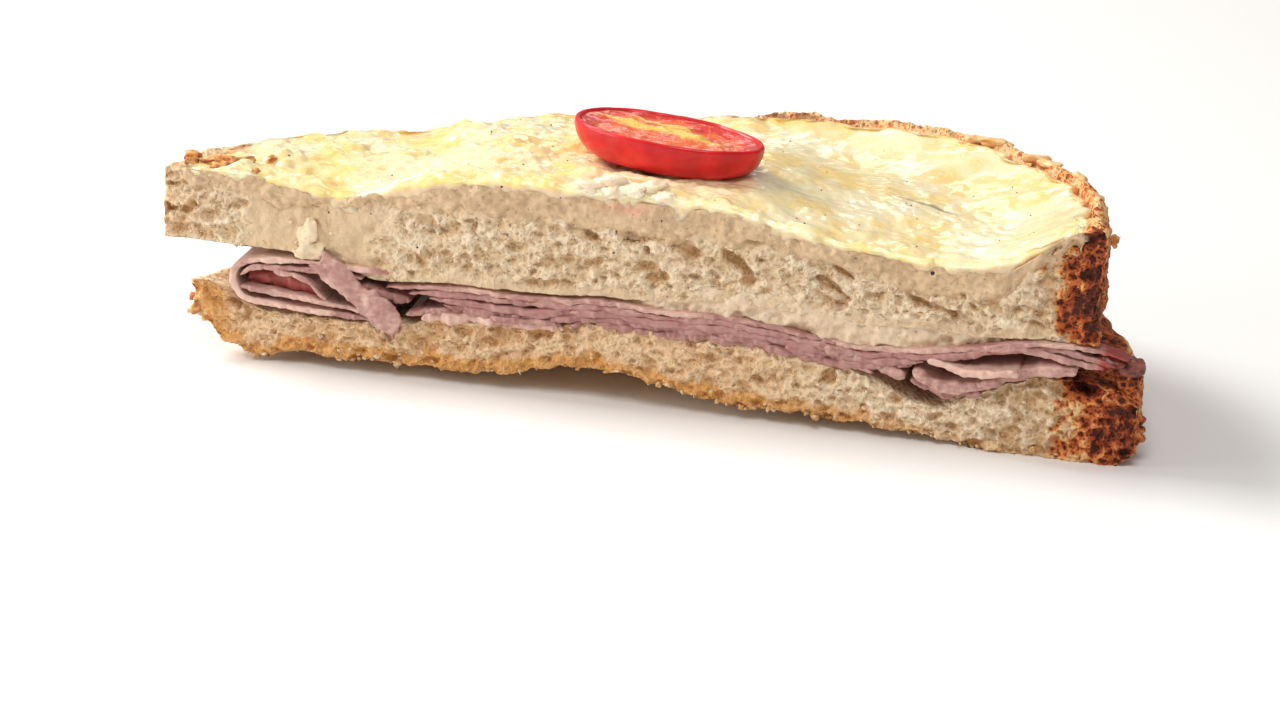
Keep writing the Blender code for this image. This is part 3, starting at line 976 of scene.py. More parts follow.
class Foam:
    """Bubbles of the crumb where the knife opened them, as depths behind the cut."""

    CELL = 0.11

    def __init__(self, low: tuple[float, float], high: tuple[float, float], seed: int) -> None:
        """Start with crumb that has no bubbles over a stretch of the cut."""
        self.low = low
        self.high = high
        shape = [int((b - a) / self.CELL) + 2 for a, b in zip(low, high)]
        self.values = np.zeros(shape)
        self.random = np.random.default_rng(seed)

    def open(self, pore: Pore) -> None:
        """Open one bubble."""
        reach = max(pore.length, pore.height)
        i = [int((v - reach - low) / self.CELL) for v, low in zip((pore.x, pore.z), self.low)]
        span = int(2.0 * reach / self.CELL) + 2
        first = [max(k, 0) for k in i]
        last = [min(k + span, size) for k, size in zip(i, self.values.shape)]
        if first[0] >= last[0] or first[1] >= last[1]:
            return
        across = self.low[0] + self.CELL * np.arange(first[0], last[0])[:, None] - pore.x
        up = self.low[1] + self.CELL * np.arange(first[1], last[1])[None, :] - pore.z
        slant = math.radians(pore.slant)
        u = (across * math.cos(slant) + up * math.sin(slant)) / pore.length
        w = (up * math.cos(slant) - across * math.sin(slant)) / pore.height
        root = np.sqrt(np.maximum(1.0 - u * u - w * w, 0.0))
        depth = np.where(root > abs(pore.offset), pore.depth * (pore.offset + root), 0.0)
        view = self.values[first[0] : last[0], first[1] : last[1]]
        np.maximum(view, depth, out=view)

    def scatter(self, count: int, size: float, spread: float, slant: Callable[[float], float]) -> None:
        """Open many random bubbles.

        Args:
            count: How many.
            size: Usual half height.
            spread: How much sizes vary, as the spread of their logarithm.
            slant: Usual slant in degrees at a place along the cut.
        """
        for _ in range(count):
            x = self.random.uniform(self.low[0], self.high[0])
            z = self.random.uniform(self.low[1], self.high[1])
            half = min(size * math.exp(self.random.normal(0.0, spread)), 3.2 * size)
            length = half * self.random.uniform(1.1, 2.1)
            depth = half * self.random.uniform(0.7, 1.5)
            turn = slant(x) + self.random.normal(0.0, 16.0)
            self.open(Pore(x, z, length, half, depth, turn, self.random.uniform(-0.45, 0.5)))

    def thicken(self, start: float, end: float, count: int, size: float) -> None:
        """Open more large and deep bubbles in the baked end, between two places along the cut."""
        for _ in range(count):
            x = self.random.uniform(start, end)
            z = self.random.uniform(self.low[1], self.high[1])
            half = size * math.exp(self.random.normal(0.0, 0.35))
            turn = self.random.normal(-35.0, 25.0)
            self.open(Pore(x, z, half * self.random.uniform(1.0, 1.7), half, 1.6 * half, turn, 0.1))

    def settle(self, blur: float, deepest: float) -> Grid:
        """Blur the bubbles a little and limit their depth."""
        capped = deepest * np.tanh(self.values / deepest)
        return Grid(self.low, self.CELL, soften(capped, blur))


# ---- Bread ----


@dataclass
class BreadSlice(Layer):
    """Slice of bread: open crumb on the cut, and a crust that is thin and pale at the left."""

    under: Grid = None
    over: Grid = None
    foam: Grid = None
    noise: Noise = None
    crust_right: float = 7.0
    crust_left: float = 1.4
    deepest: float = 1.3

    def edge_noise(self, x: Array, y: Array) -> Array:
        """Raggedness of the crumb's edges along the cut."""
        ragged = 0.3 * self.noise.layers(x, 0.0 * x, self.noise.seed, 1.6, 3)
        return ragged * np.exp(-(y - CUT) / 1.5)

    def low(self, x: Array, y: Array) -> Array:
        """Height of the underside."""
        return self.under.at(x, y) + self.edge_noise(x + 31.0, y)

    def high(self, x: Array, y: Array) -> Array:
        """Height of the top."""
        return self.over.at(x, y) + self.edge_noise(x, y)

    def smear(self, rows: Rows) -> Array:
        """Share of the cut over which bechamel is smeared."""
        return np.zeros_like(rows.x)

    @abstractmethod
    def dive(self, rows: Rows) -> Array:
        """How far the cut draws back near its edges, behind what lies on and under it."""

    def web(self, rows: Rows, size: float) -> Array:
        """Walls between the smallest bubbles, from 0 inside a bubble to 1 on a wall."""
        push = 0.5 * self.noise.at(rows.x, rows.y, rows.z, 1.4 * size)
        large = np.abs(self.noise.at(rows.x + push, rows.y, rows.z + push, size))
        small = np.abs(self.noise.at(rows.x + 9.0, rows.y + push, rows.z, 0.55 * size))
        return np.clip(1.0 - 1.1 * large - 0.6 * small, 0.0, 1.0)

    def opening(self, rows: Rows) -> Array:
        """Depth of the bubbles at each point of the cut."""
        push_x = 0.45 * self.noise.layers(rows.x, 11.0, rows.z, 1.4, 2)
        push_z = 0.35 * self.noise.layers(rows.x, 23.0, rows.z, 1.4, 2)
        room = np.minimum(rows.over_foot, rows.under_top)
        depth = self.foam.at(rows.x + push_x, rows.z + push_z) * smooth(room, -0.2, 0.5)
        return depth * rows.front * (1.0 - 0.93 * self.smear(rows))

    def swell(self, rows: Rows) -> Array:
        """Relief of the cut and of the crust."""
        smear = self.smear(rows)
        wave = 0.22 * self.noise.layers(rows.x, rows.y, rows.z, 3.2, 3)
        paste = 0.32 * self.noise.layers(rows.x + 40.0, rows.y, rows.z, 1.7, 3) * smear
        fine = 0.52 * (self.web(rows, 1.05) - 0.5) * (1.0 - 0.75 * smear) + paste
        rough = 0.30 * self.noise.layers(rows.x, rows.y, rows.z, 3.2, 3)
        rough = rough + 0.75 * (self.web(rows, 1.9) - 0.55) - 0.15
        crumb = wave + fine - self.opening(rows) - self.dive(rows)
        baked = crumb + 0.35 * (self.web(rows, 1.9) - 0.6) * smooth(self.baked(rows), 0.3, 0.6)
        return blend(rough, baked, rows.front)

    def lift(self, rows: Rows) -> Array:
        """Relief of the top and the underside."""
        rough = 0.2 * self.noise.layers(rows.x, rows.y, 7.0, 2.4, 3) + 0.35 * (self.web(rows, 1.6) - 0.6)
        off_wall = smooth(rows.inward, 0.0, 2.0)
        return rough * off_wall * np.where(rows.level > 0.5, 1.0, -0.6)

    def end_distance(self, rows: Rows) -> tuple[Array, Array]:
        """Distance to the left and to the right end of the cut."""
        return rows.x - rows.x.min(), rows.x.max() - rows.x

    def baked(self, rows: Rows) -> Array:
        """How far the surface is baked, from 0 in the crumb to 1 in the darkest crust."""
        to_left, to_right = self.end_distance(rows)
        uneven = 0.25 * self.noise.layers(rows.x, rows.y, rows.z, 2.0, 3)
        right = np.clip(1.0 - (to_right + 9.0 * uneven) / self.crust_right, 0.0, 1.0) ** 0.8
        left = 0.16 * smooth(to_left + 3.0 * uneven, self.crust_left, 0.1)
        cut = np.maximum(right, left)
        tone = blend(0.34, 0.86, smooth(rows.x, -35.0, 50.0)) + 0.3 * uneven
        tone = tone * blend(1.0, 0.33, smooth(rows.level, 0.72, 0.97))
        beside = rows.depth > rows.inward + 0.3
        from_rim = np.where(beside, rows.inward, np.minimum(to_left, to_right))
        shell = tone * smooth(from_rim, 3.4 + 6.0 * smooth(rows.x, 45.0, 62.0), 1.0)
        return np.clip(blend(shell, cut, rows.cut), 0.0, 1.0)

    def toast(self, rows: Rows) -> Array:
        """How golden the crumb is."""
        return 0.35 * smooth(rows.inward, 0.4, 2.0)

    def marks(self, rows: Rows) -> dict[str, Array]:
        """Values that the material reads."""
        web = blend(self.web(rows, 1.9), self.web(rows, 1.15), rows.cut)
        # The pore mark is high where the bubbles open and where the relief is low; the material paints it
        # darker, partly as painted shade in these hollows.
        shallow = (1.0 - web) * blend(0.9, 0.35, rows.cut) * (1.0 - 0.8 * self.smear(rows))
        return {
            "pore": np.clip(self.opening(rows) / self.deepest + shallow - 0.12, 0.0, 1.0),
            "smear": self.smear(rows),
            "crust": self.baked(rows),
            "toast": self.toast(rows),
        }


@dataclass
class LowerSlice(BreadSlice):
    """Slice that the half stands on, toasted underneath, with a hollow at the right that is painted nearly
    black as shade.
    """

    hollow: tuple[float, float] = (64.3, 11.2)
    hollow_half: tuple[float, float] = (2.5, 1.9)

    def hollow_span(self, rows: Rows) -> Array:
        """Distance from the middle of the burnt hollow, as a share of its half widths."""
        x, z = self.hollow
        half_x, half_z = self.hollow_half
        return np.hypot((rows.x - x) / half_x, (rows.z - z) / half_z)

    def low(self, x: Array, y: Array) -> Array:
        """Height of the underside, never below the rest plane, ragged along the cut."""
        depth = y - CUT
        torn = 0.5 * self.noise.layers(x, 0.4 * y, 5.0, 2.2, 3) * np.exp(-depth / 1.6)
        heel = 2.1 * bell(x, -62.3, 1.7) * np.exp(-depth / 9.0)
        return np.maximum(self.under.at(x, y) - heel - 0.25 * np.exp(-depth / 1.6) + torn, 0.03)

    def lift(self, rows: Rows) -> Array:
        """Relief of the top, and of the underside only where it stands clear of the rest plane."""
        lift = super().lift(rows)
        return np.where(rows.level < 0.5, lift * smooth(rows.z, 0.5, 2.0), lift)

    def dive(self, rows: Rows) -> Array:
        """How far the cut draws back: along its upper edge, and in the hollow at the right."""
        pit = 2.6 * smooth(self.hollow_span(rows), 1.15, 0.75)
        return 0.35 * smooth(rows.under_top, 0.8, 0.0) + 0.4 * smooth(rows.over_foot, 0.6, 0.0) + pit

    def baked(self, rows: Rows) -> Array:
        """How far the surface is baked, and dark behind it; darkest in the hollow, where the colour is
        painted shade.
        """
        # The hollow between the ham and the crust gets the darkest crust colour: painted shade.
        burnt = smooth(self.hollow_span(rows), 1.3, 0.8) * rows.cut
        behind = 0.85 * smooth(rows.x, 56.0, 61.0) * smooth(rows.level, 0.9, 1.0) * (1.0 - rows.cut)
        return np.maximum(super().baked(rows), np.maximum(burnt, behind))

    def toast(self, rows: Rows) -> Array:
        """How golden the crumb is: most along its lower edge and at both ends, with more over the middle of
        the cut as painted shade.
        """
        to_left, _ = self.end_distance(rows)
        uneven = 0.6 * self.noise.layers(rows.x, rows.y, rows.z, 2.2, 2)
        # More toast over the middle of the cut, also along its lower edge there: painted shade and painted
        # warm reflected colour; the rest is the crumb's own toast.
        middle = smooth(rows.x, 45.0, 15.0)
        edge = (0.6 + 0.3 * middle) * smooth(rows.over_foot + uneven, 3.0, 0.3)
        edge = edge + 0.52 * middle + 0.6 * smooth(to_left + uneven, 8.0, 1.0)
        face = np.where(rows.level < 0.5, 0.75, 0.12)
        return np.clip(blend(face, edge, rows.cut), 0.0, 1.0)


@dataclass
class UpperSlice(BreadSlice):
    """Slice under the cheese, smeared with bechamel near its pale end; its crust makes the rim."""

    rim: Grid = None
    roof: Grid = None

    def low(self, x: Array, y: Array) -> Array:
        """Height of the underside, which closes over the bechamel's edge at the cut's two ends."""
        depth = y - CUT
        closed = np.maximum(smooth(x, 6.0, -12.0) * np.exp(-depth / 3.0), smooth(x, 38.0, 55.0))
        return blend(super().low(x, y) - 0.7 * np.exp(-depth / 1.5), self.roof.at(x, y) + 0.1, closed)

    def high(self, x: Array, y: Array) -> Array:
        """Height of the top, with the crust standing up round the cheese."""
        crumble = self.noise.layers(x, y, 3.0, 1.6, 3)
        inset = self.outline.inset(x, y) + 0.4 * crumble
        reach = 1.7 + 1.9 * smooth(x, 15.0, 45.0)
        rise = smooth(inset, reach + 0.5, reach - 0.4) * smooth(x, -8.0, 10.0)
        rise = np.maximum(rise, smooth(x + crumble, -61.0, -66.5))
        crumb = super().high(x, y) + 1.5 * np.exp(-(y - CUT) / 1.5)
        top = self.rim.at(x, y) + 0.35 + 0.45 * crumble - 0.8 * smooth(x, -58.0, -64.0)
        return np.maximum(crumb, blend(crumb, top, rise))

    def toast(self, rows: Rows) -> Array:
        """How golden the crumb is: also a little at the pale end."""
        uneven = 2.0 * self.noise.layers(rows.x, rows.y, rows.z, 2.5, 2)
        return np.maximum(super().toast(rows), 0.42 * smooth(rows.x + uneven, -59.0, -68.0))

    def dive(self, rows: Rows) -> Array:
        """How far the cut draws back towards the bechamel over and under it."""
        uneven = 0.5 * self.noise.layers(rows.x, 2.0, rows.z, 2.6, 3)
        over = smooth(rows.under_top + uneven, 2.8, 0.0) * smooth(rows.x, -66.0, -60.0)
        under = smooth(rows.over_foot + uneven, 1.3, 0.0) * smooth(rows.x, -8.0, 8.0)
        return (0.55 * over + 0.2 * under) * smooth(rows.x, 61.0, 56.0)

    def smear(self, rows: Rows) -> Array:
        """Share of the cut over which bechamel is smeared."""
        uneven = 2.2 * self.noise.layers(rows.x, 3.0, rows.z, 4.0, 3)
        patch = smooth(rows.x + uneven, -61.5, -58.0) * smooth(rows.x + uneven, -36.0, -41.0)
        under_sauce = smooth(rows.under_top + 0.35 * uneven, 2.2, 0.8)
        over_ham = smooth(rows.over_foot + 0.35 * uneven, 1.9, 0.5) * smooth(rows.x, -36.0, -30.0)
        edges = np.maximum(under_sauce, 0.8 * over_ham)
        inside = smooth(rows.x, 60.0, 55.0) * smooth(rows.x, -66.0, -60.0)
        return np.clip(np.maximum(patch, edges) * inside, 0.0, 1.0) * rows.cut


# ---- Bechamel and cheese ----


@dataclass
class Sauce(Layer):
    """Layer of bechamel, bulging a little where it was cut."""

    under: Callable[[Array, Array], Array] = None
    over: Callable[[Array, Array], Array] = None
    noise: Noise = None
    bulge: float = 0.1
    overlap: float = 1.1
    foot: float = 0.6
    top: float = 0.25
    juice: float = 0.0
    tuck: tuple[float, float] = (0.0, 0.0)
    foam: Grid = None
    pitted: float = 0.0
    rounding: float = 1.2

    def low(self, x: Array, y: Array) -> Array:
        """Height of the underside, sunk into what carries it."""
        return self.under(x, y) - 0.4 - self.overlap * np.exp(-(y - CUT) / 1.5)

    def high(self, x: Array, y: Array) -> Array:
        """Height of the top."""
        return self.over(x, y)

    def swell(self, rows: Rows) -> Array:
        """Relief of the cut edge, which draws back towards what lies over and under it."""
        lumps = 0.3 * self.noise.layers(rows.x, rows.y, rows.z, 2.4, 3)
        lumps = lumps + 0.24 * self.noise.layers(rows.x + 5.0, rows.y, rows.z, 0.9, 2)
        uneven = 1.1 * self.noise.layers(rows.x, 7.0, rows.z, 2.2, 3)
        foot = self.foot * smooth(rows.over_foot + uneven, 3.2, 0.0)
        top = self.top * smooth(rows.under_top + uneven, 1.4, 0.0)
        left, right = self.tuck
        tuck = left * smooth(rows.x, 6.0, -6.0) + right * smooth(rows.x, 34.0, 54.0)
        pits = np.maximum(self.pitted, 0.7 * smooth(rows.over_foot + uneven, 3.0, 0.6))
        pits = pits * self.foam.at(rows.x, rows.z) * rows.cut
        return self.bulge + lumps - foot - top - tuck - pits

    def marks(self, rows: Rows) -> dict[str, Array]:
        """Values that the material reads."""
        stain = 0.5 * self.noise.layers(rows.x, rows.z, 3.0, 1.4, 3)
        juice = bell(rows.x, -2.3, 3.0) * bell(rows.under_top, 0.9, 1.0) * self.juice
        return {"blush": np.clip(juice * (0.9 + stain), 0.0, 1.0) * rows.cut}


@dataclass(frozen=True)
class Lump:
    """Soft lump or hollow of the topping: its middle in plan, its half widths and its height."""

    x: float
    depth: float
    length: float
    width: float
    height: float
    turn: float = 0.0

    def at(self, x: Array, depth: Array) -> Array:
        """Height over the topping."""
        turn = math.radians(self.turn)
        along = (x - self.x) * math.cos(turn) + (depth - self.depth) * math.sin(turn)
        across = (depth - self.depth) * math.cos(turn) - (x - self.x) * math.sin(turn)
        return self.height * np.exp(-((along / self.length) ** 2) - (across / self.width) ** 2)


class Strands:
    """Relief of grated cheese that has nearly melted together, over the plan."""

    CELL = 0.3
    LOW = (-74.0, -2.0)
    SHAPE = (494, 206)
    SHARPNESS = 3.0

    def __init__(self, seed: int, count: int) -> None:
        """Lay the strands down.

        Args:
            seed: Seed of their places.
            count: How many there are.
        """
        random = np.random.default_rng(seed)
        self.values = np.zeros(self.SHAPE)
        for _ in range(count):
            x = random.uniform(-70.0, 66.0)
            depth = random.uniform(-1.0, 56.0)
            turn = random.normal(0.0, 0.9)
            length = random.uniform(3.0, 9.0)
            width = random.uniform(0.7, 1.6)
            height = random.uniform(0.35, 1.0)
            self.lay(x, depth, turn, length, width, height, random.normal(0.0, 0.06))
        self.values = self.values ** (1.0 / self.SHARPNESS)

    def lay(
        self, x: float, depth: float, turn: float, length: float, width: float, height: float, bend: float
    ) -> None:
        """Add one strand: a bent ridge with soft ends."""
        reach = length + 3.0 * width
        i, j = (int((v - reach - low) / self.CELL) for v, low in zip((x, depth), self.LOW))
        span = int(2.0 * reach / self.CELL) + 2
        i0, j0 = max(i, 0), max(j, 0)
        i1, j1 = min(i + span, self.SHAPE[0]), min(j + span, self.SHAPE[1])
        if i0 >= i1 or j0 >= j1:
            return
        dx = self.LOW[0] + self.CELL * np.arange(i0, i1)[:, None] - x
        dy = self.LOW[1] + self.CELL * np.arange(j0, j1)[None, :] - depth
        along = dx * math.cos(turn) + dy * math.sin(turn)
        across = dy * math.cos(turn) - dx * math.sin(turn) - bend * along * along
        beyond = np.maximum(np.abs(along) - length, 0.0)
        ridge = height * np.exp(-(across**2 + beyond**2) / (width * width))
        self.values[i0:i1, j0:j1] += ridge**self.SHARPNESS

    def grid(self) -> Grid:
        """The relief as a grid over x and depth."""
        return Grid(self.LOW, self.CELL, soften(self.values, 0.8))


@dataclass
class Cheese(Layer):
    """Melted cheese with lips over the cut, lumps at the left and a browned edge at the rear."""

    under: Callable[[Array, Array], Array] = None
    over: Grid = None
    strands: Grid = None
    lumps: tuple[Lump, ...] = ()
    noise: Noise = None
    rounding: float = 1.3

    def drip(self, x: Array) -> Array:
        """How far the cheese hangs over the cut."""
        lobes = self.noise.layers(x, 5.0, 2.0, 4.5, 3)
        return 1.2 * smooth(lobes, 0.0, 1.0) * blend(1.0, 0.5, smooth(x, -5.0, 25.0)) - 0.9

    def low(self, x: Array, y: Array) -> Array:
        """Height of the underside."""
        hang = (self.drip(x) + 0.8) * np.exp(-np.maximum(y - CUT, 0.0) / 0.8)
        return self.under(x, y) - 0.5 - hang

    def relief(self, x: Array, y: Array) -> Array:
        """Lumps and strands on the cheese."""
        depth = y - CUT
        calm = 0.25 + 0.75 * smooth(self.noise.layers(x, y, 9.0, 13.0, 2), 0.35, -0.35)
        calm = calm * blend(1.0, 0.3, smooth(x, 15.0, 30.0))
        still = blend(1.0, 0.32, smooth(x, 0.0, 20.0))
        ripple = 0.17 * still * self.noise.layers(x, y, 0.0, 1.3, 3)
        swells = 0.6 * still * self.noise.layers(x, y, 5.0, 5.0, 3)
        edge = 0.55 * smooth(self.noise.layers(x, y, 15.0, 2.6, 3), -0.1, 0.9) * bell(depth, 0.0, 5.0)
        form = 0.22 * calm * self.strands.at(x, depth) + ripple + swells + edge - 0.15
        for lump in self.lumps:
            form = form + lump.at(x, depth)
        return form

    def high(self, x: Array, y: Array) -> Array:
        """Height of the top without its fine relief."""
        return self.over.at(x, y)

    def surface(self, x: Array, y: Array) -> Array:
        """Height of the finished top."""
        return self.high(x, y) + self.relief(x, y) * smooth(y - CUT, -0.5, 1.2)

    def swell(self, rows: Rows) -> Array:
        """Bulge of the edge, which draws back towards the bechamel except where it has run."""
        round_out = np.sqrt(np.clip(1.0 - (2.0 * rows.level - 1.0) ** 2, 0.0, 1.0))
        lumps = 0.28 * self.noise.layers(rows.x, rows.y, rows.z, 2.0, 3)
        uneven = 0.6 * self.noise.layers(rows.x, 4.0, rows.z, 2.4, 3)
        run = smooth(self.drip(rows.x), -0.6, 0.2)
        back = blend(0.9, 0.1, run) * smooth(rows.over_foot + uneven, 2.2, 0.0)
        back = back + 0.9 * smooth(rows.x, 50.0, 60.0)
        front = 0.15 * round_out + lumps - back - 0.5 * smooth(rows.level, 0.75, 1.0)
        rear = -1.2 + 0.9 * self.noise.layers(rows.x, rows.y, 0.0, 3.0, 3)
        return blend(rear, front, rows.front)

    def lift(self, rows: Rows) -> Array:
        """Relief of the top."""
        soft = smooth(rows.inward, 0.0, 1.6)
        return self.relief(rows.x, rows.y) * blend(0.45, 1.0, soft) * smooth(rows.level, 0.4, 1.0)

    def marks(self, rows: Rows) -> dict[str, Array]:
        """Values that the material reads."""
        strands = self.strands.at(rows.x, rows.depth)
        inset = self.outline.inset(rows.x, rows.y)
        uneven = self.noise.layers(rows.x, rows.y, 4.0, 2.4, 3)
        rear = smooth(inset + 1.4 * uneven, 2.6, 0.2) * smooth(rows.depth, 6.0, 14.0) * 0.55
        left = smooth(rows.x + 4.0 * uneven, -56.0, -65.0) * smooth(uneven, -0.5, 0.5) * 0.5
        brown = np.maximum(rear, left)
        return {
            "hollow": smooth(strands, 0.75, 0.1) * 0.6,
            "brown": np.clip(brown * (1.0 + 0.8 * uneven), 0.0, 1.0),
            "lip": smooth(rows.under_top, 0.3, 1.2) * rows.cut,
        }


# ---- Ham ----


def curve_through(knots: Line, spacing: float) -> Array:
    """Smooth line through knots.

    Args:
        knots: Points that the line goes through, in x and z.
        spacing: Distance between the points that are returned.

    Returns:
        Points along the line, one row each.
    """
    points = np.array(knots, float)
    padded = np.concatenate([[2 * points[0] - points[1]], points, [2 * points[-1] - points[-2]]])
    share = np.linspace(0.0, 1.0, 24, endpoint=False)[:, None]
    parts = []
    for a, b, c, d in zip(padded, padded[1:], padded[2:], padded[3:]):
        bow = 2 * a - 5 * b + 4 * c - d
        twist = 3 * b - a - 3 * c + d
        parts.append(0.5 * (2 * b + (c - a) * share + bow * share**2 + twist * share**3))
    dense = np.concatenate([*parts, points[-1:]])
    run = np.concatenate([[0.0], np.cumsum(np.linalg.norm(np.diff(dense, axis=0), axis=1))])
    count = max(int(run[-1] / spacing), 8)
    places = np.linspace(0.0, run[-1], count)
    return np.stack([np.interp(places, run, dense[:, axis]) for axis in (0, 1)], axis=1)


def ribbon(knots: Line, spacing: float) -> tuple[Array, Array, Array]:
    """Points of the smooth line through knots, with the direction and the normal at each of them."""
    line = curve_through(knots, spacing)
    along = np.gradient(line, axis=0)
    along /= np.linalg.norm(along, axis=1, keepdims=True)
    return line, along, np.stack([-along[:, 1], along[:, 0]], axis=1)


@dataclass
class HamLeaf:
    """Thin slice of ham whose section at the cut follows a line and that runs back from it."""

    name: str
    knots: Line
    replaces: tuple[str, ...]
    noise: Noise
    finish: Finish
    thickness: float = 1.0
    reach: float = 20.0
    proud: float = 0.2
    ragged: float = 0.5
    # Share of paler colour: partly the ham's fatty parts, partly painted light, lower on leaves painted in
    # shade and higher on leaves painted lit.
    pale: float = 0.3
    dark_inside: float = 0.0
    wave: float = 0.25
    burnt: float = 0.0
    dark: float = 0.0
    limit: Callable[[Array], Array] = None
    follow: Grid = None
    spacing: float = 0.25

    BACK = (0.08, 0.5, 1.0)
    DEPTHS = (1.0, 0.8, 0.6, 0.42, 0.28, 0.18, 0.11, 0.065, 0.035, 0.015, 0.0)
    NOSE = (0.93, 0.78, 0.55, 0.3, 0.06)
    TIP = (63.5, 67.0)

    def rows(self) -> tuple[Array, Array]:
        """Share of the full thickness, and share of the reach, from the back row to the nose."""
        full = np.concatenate([self.BACK, np.ones(len(self.DEPTHS)), self.NOSE])[:, None]
        depth = np.concatenate([np.ones(len(self.BACK)), self.DEPTHS, np.zeros(len(self.NOSE))])[:, None]
        return full, depth

    def marks(self, x: Array, y: Array, z: Array, depth: Array) -> dict[str, Array]:
        """Values that the material reads."""
        # Darker behind the nose of the leaf: painted shade where it runs back between the layers.
        inside = self.dark_inside * smooth(depth, 0.0, 0.25) * np.ones_like(x)
        tip = smooth(x + 0.8 * self.noise.layers(x, y, z, 1.5, 2), *self.TIP)
        pale = self.pale * (1.0 + 0.8 * self.noise.layers(x, y, z, 6.0, 2))
        dark = np.maximum(np.maximum(inside, self.burnt * tip), self.dark)
        return {"pale": np.clip(pale, 0.0, 1.0), "dark": dark}

    def build(self) -> bpy.types.Object:
        """Shape the leaf and make the piece."""
        line, _, normal = ribbon(self.knots, self.spacing)
        count = len(line)
        columns = np.concatenate([np.arange(count), np.arange(count)[::-1]])
        side = np.concatenate([-np.ones(count), np.ones(count)])
        full, depth = self.rows()
        x = line[columns, 0][None, :] + 0.0 * depth
        z = line[columns, 1][None, :] + 0.0 * depth
        torn = self.noise.layers(x, z, 0.0, 3.4, 2) + 0.6 * self.noise.layers(x, z, 4.0, 0.9, 2)
        reach = self.reach + 0.0 * line[:, 0]
        if self.limit is not None:
            reach = np.minimum(reach, self.limit(line[:, 0]))
        ahead = np.sqrt(np.maximum(1.0 - full**2, 0.0)) * (depth < 0.5)
        front = CUT - self.proud + self.ragged * torn
        y = front + reach[columns][None, :] * depth - 0.3 * self.thickness * ahead
        taper = np.sqrt(np.maximum(1.0 - np.abs(np.linspace(-1.0, 1.0, count)) ** 14, 0.02))
        half = 0.5 * self.thickness * taper[columns][None, :]
        half = half * (1.0 + 0.25 * self.noise.layers(x, y, z, 2.0, 3)) * full
        lift = self.wave * self.noise.layers(x, 0.45 * y, z, 5.0, 2)
        lift = lift + 0.09 * self.noise.layers(x, y, z, 0.8, 2) * side * full
        if self.follow is not None:
            lift = lift + self.follow.at(x, y) - self.follow.at(x, CUT + 0.0 * y)
        x = x + (side * half) * normal[columns, 0][None, :]
        z = z + (side * half) * normal[columns, 1][None, :] + lift
        y = y + 0.14 * self.noise.layers(x, z, 8.0, 0.7, 2) * (depth < 0.01)
        points = np.stack([x, y, z], axis=-1)
        marks = self.marks(x, y, z, depth)
        return place_lattice(self.name, points, self.finish, Slot.HAM, self.replaces, marks)


@dataclass
class Flap:
    """Torn flat piece that hangs upright, from its upper end to its lower end."""

    name: str
    knots: Line
    slot: Slot
    replaces: tuple[str, ...]
    noise: Noise
    finish: Finish
    width: float = 4.0
    thickness: float = 0.6
    proud: float = 1.0
    torn: float = 0.3
    pale: float = 0.45
    crust: float = 0.0
    curl: float = 0.5

    ACROSS = 20
    SPACING = 0.2

    def build(self) -> bpy.types.Object:
        """Shape the flap and make the piece."""
        line, along, normal = ribbon(self.knots, self.SPACING)
        share = np.linspace(0.0, 1.0, len(line))[:, None]
        across = np.linspace(-1.0, 1.0, self.ACROSS)
        columns = np.concatenate([across, across[::-1]])[None, :]
        face = np.concatenate([np.ones(self.ACROSS), -np.ones(self.ACROSS)])[None, :]
        run = 20.0 * share
        torn = self.torn * self.noise.layers(run, 3.0 * np.sign(columns), 0.0, 1.5, 3) * np.abs(columns)
        half = 0.5 * self.width * (1.0 + 0.18 * self.noise.at(run, 0.0, 6.0, 5.0))
        offset = columns * (half + torn)
        ends = 0.9 * self.noise.layers(offset, 2.0 + 4.0 * np.round(share), 1.0, 1.8, 3)
        slip = ends * np.abs(2.0 * share - 1.0) ** 6
        edge = np.sqrt(np.maximum(1.0 - columns**10, 0.1))
        edge = edge * np.sqrt(np.maximum(1.0 - (2.0 * share - 1.0) ** 40, 0.1))
        bumps = 0.14 * self.noise.layers(run, offset, 0.0, 1.1, 3)
        curl = self.curl * (offset / self.width) ** 2 + 0.3 * self.noise.at(run, offset, 2.0, 4.0)
        x = line[:, :1] + offset * normal[:, :1] + slip * along[:, :1]
        z = line[:, 1:] + offset * normal[:, 1:] + slip * along[:, 1:]
        y = CUT - self.proud + curl - face * (0.5 * self.thickness + bumps) * edge
        points = np.stack([x, y, z], axis=-1)
        pale = self.pale + 0.3 * self.noise.layers(x, y, z, 2.0, 2)
        web = np.abs(self.noise.layers(x, y, z, 1.5, 2))
        marks = {
            "pale": np.clip(pale, 0.0, 1.0),
            "crust": self.crust + 0.0 * x,
            "pore": np.clip(web, 0.0, 1.0) * smooth(self.crust, 0.0, 0.5),
        }
        return place_lattice(self.name, points, self.finish, self.slot, self.replaces, marks)


# ---- Tomato ----


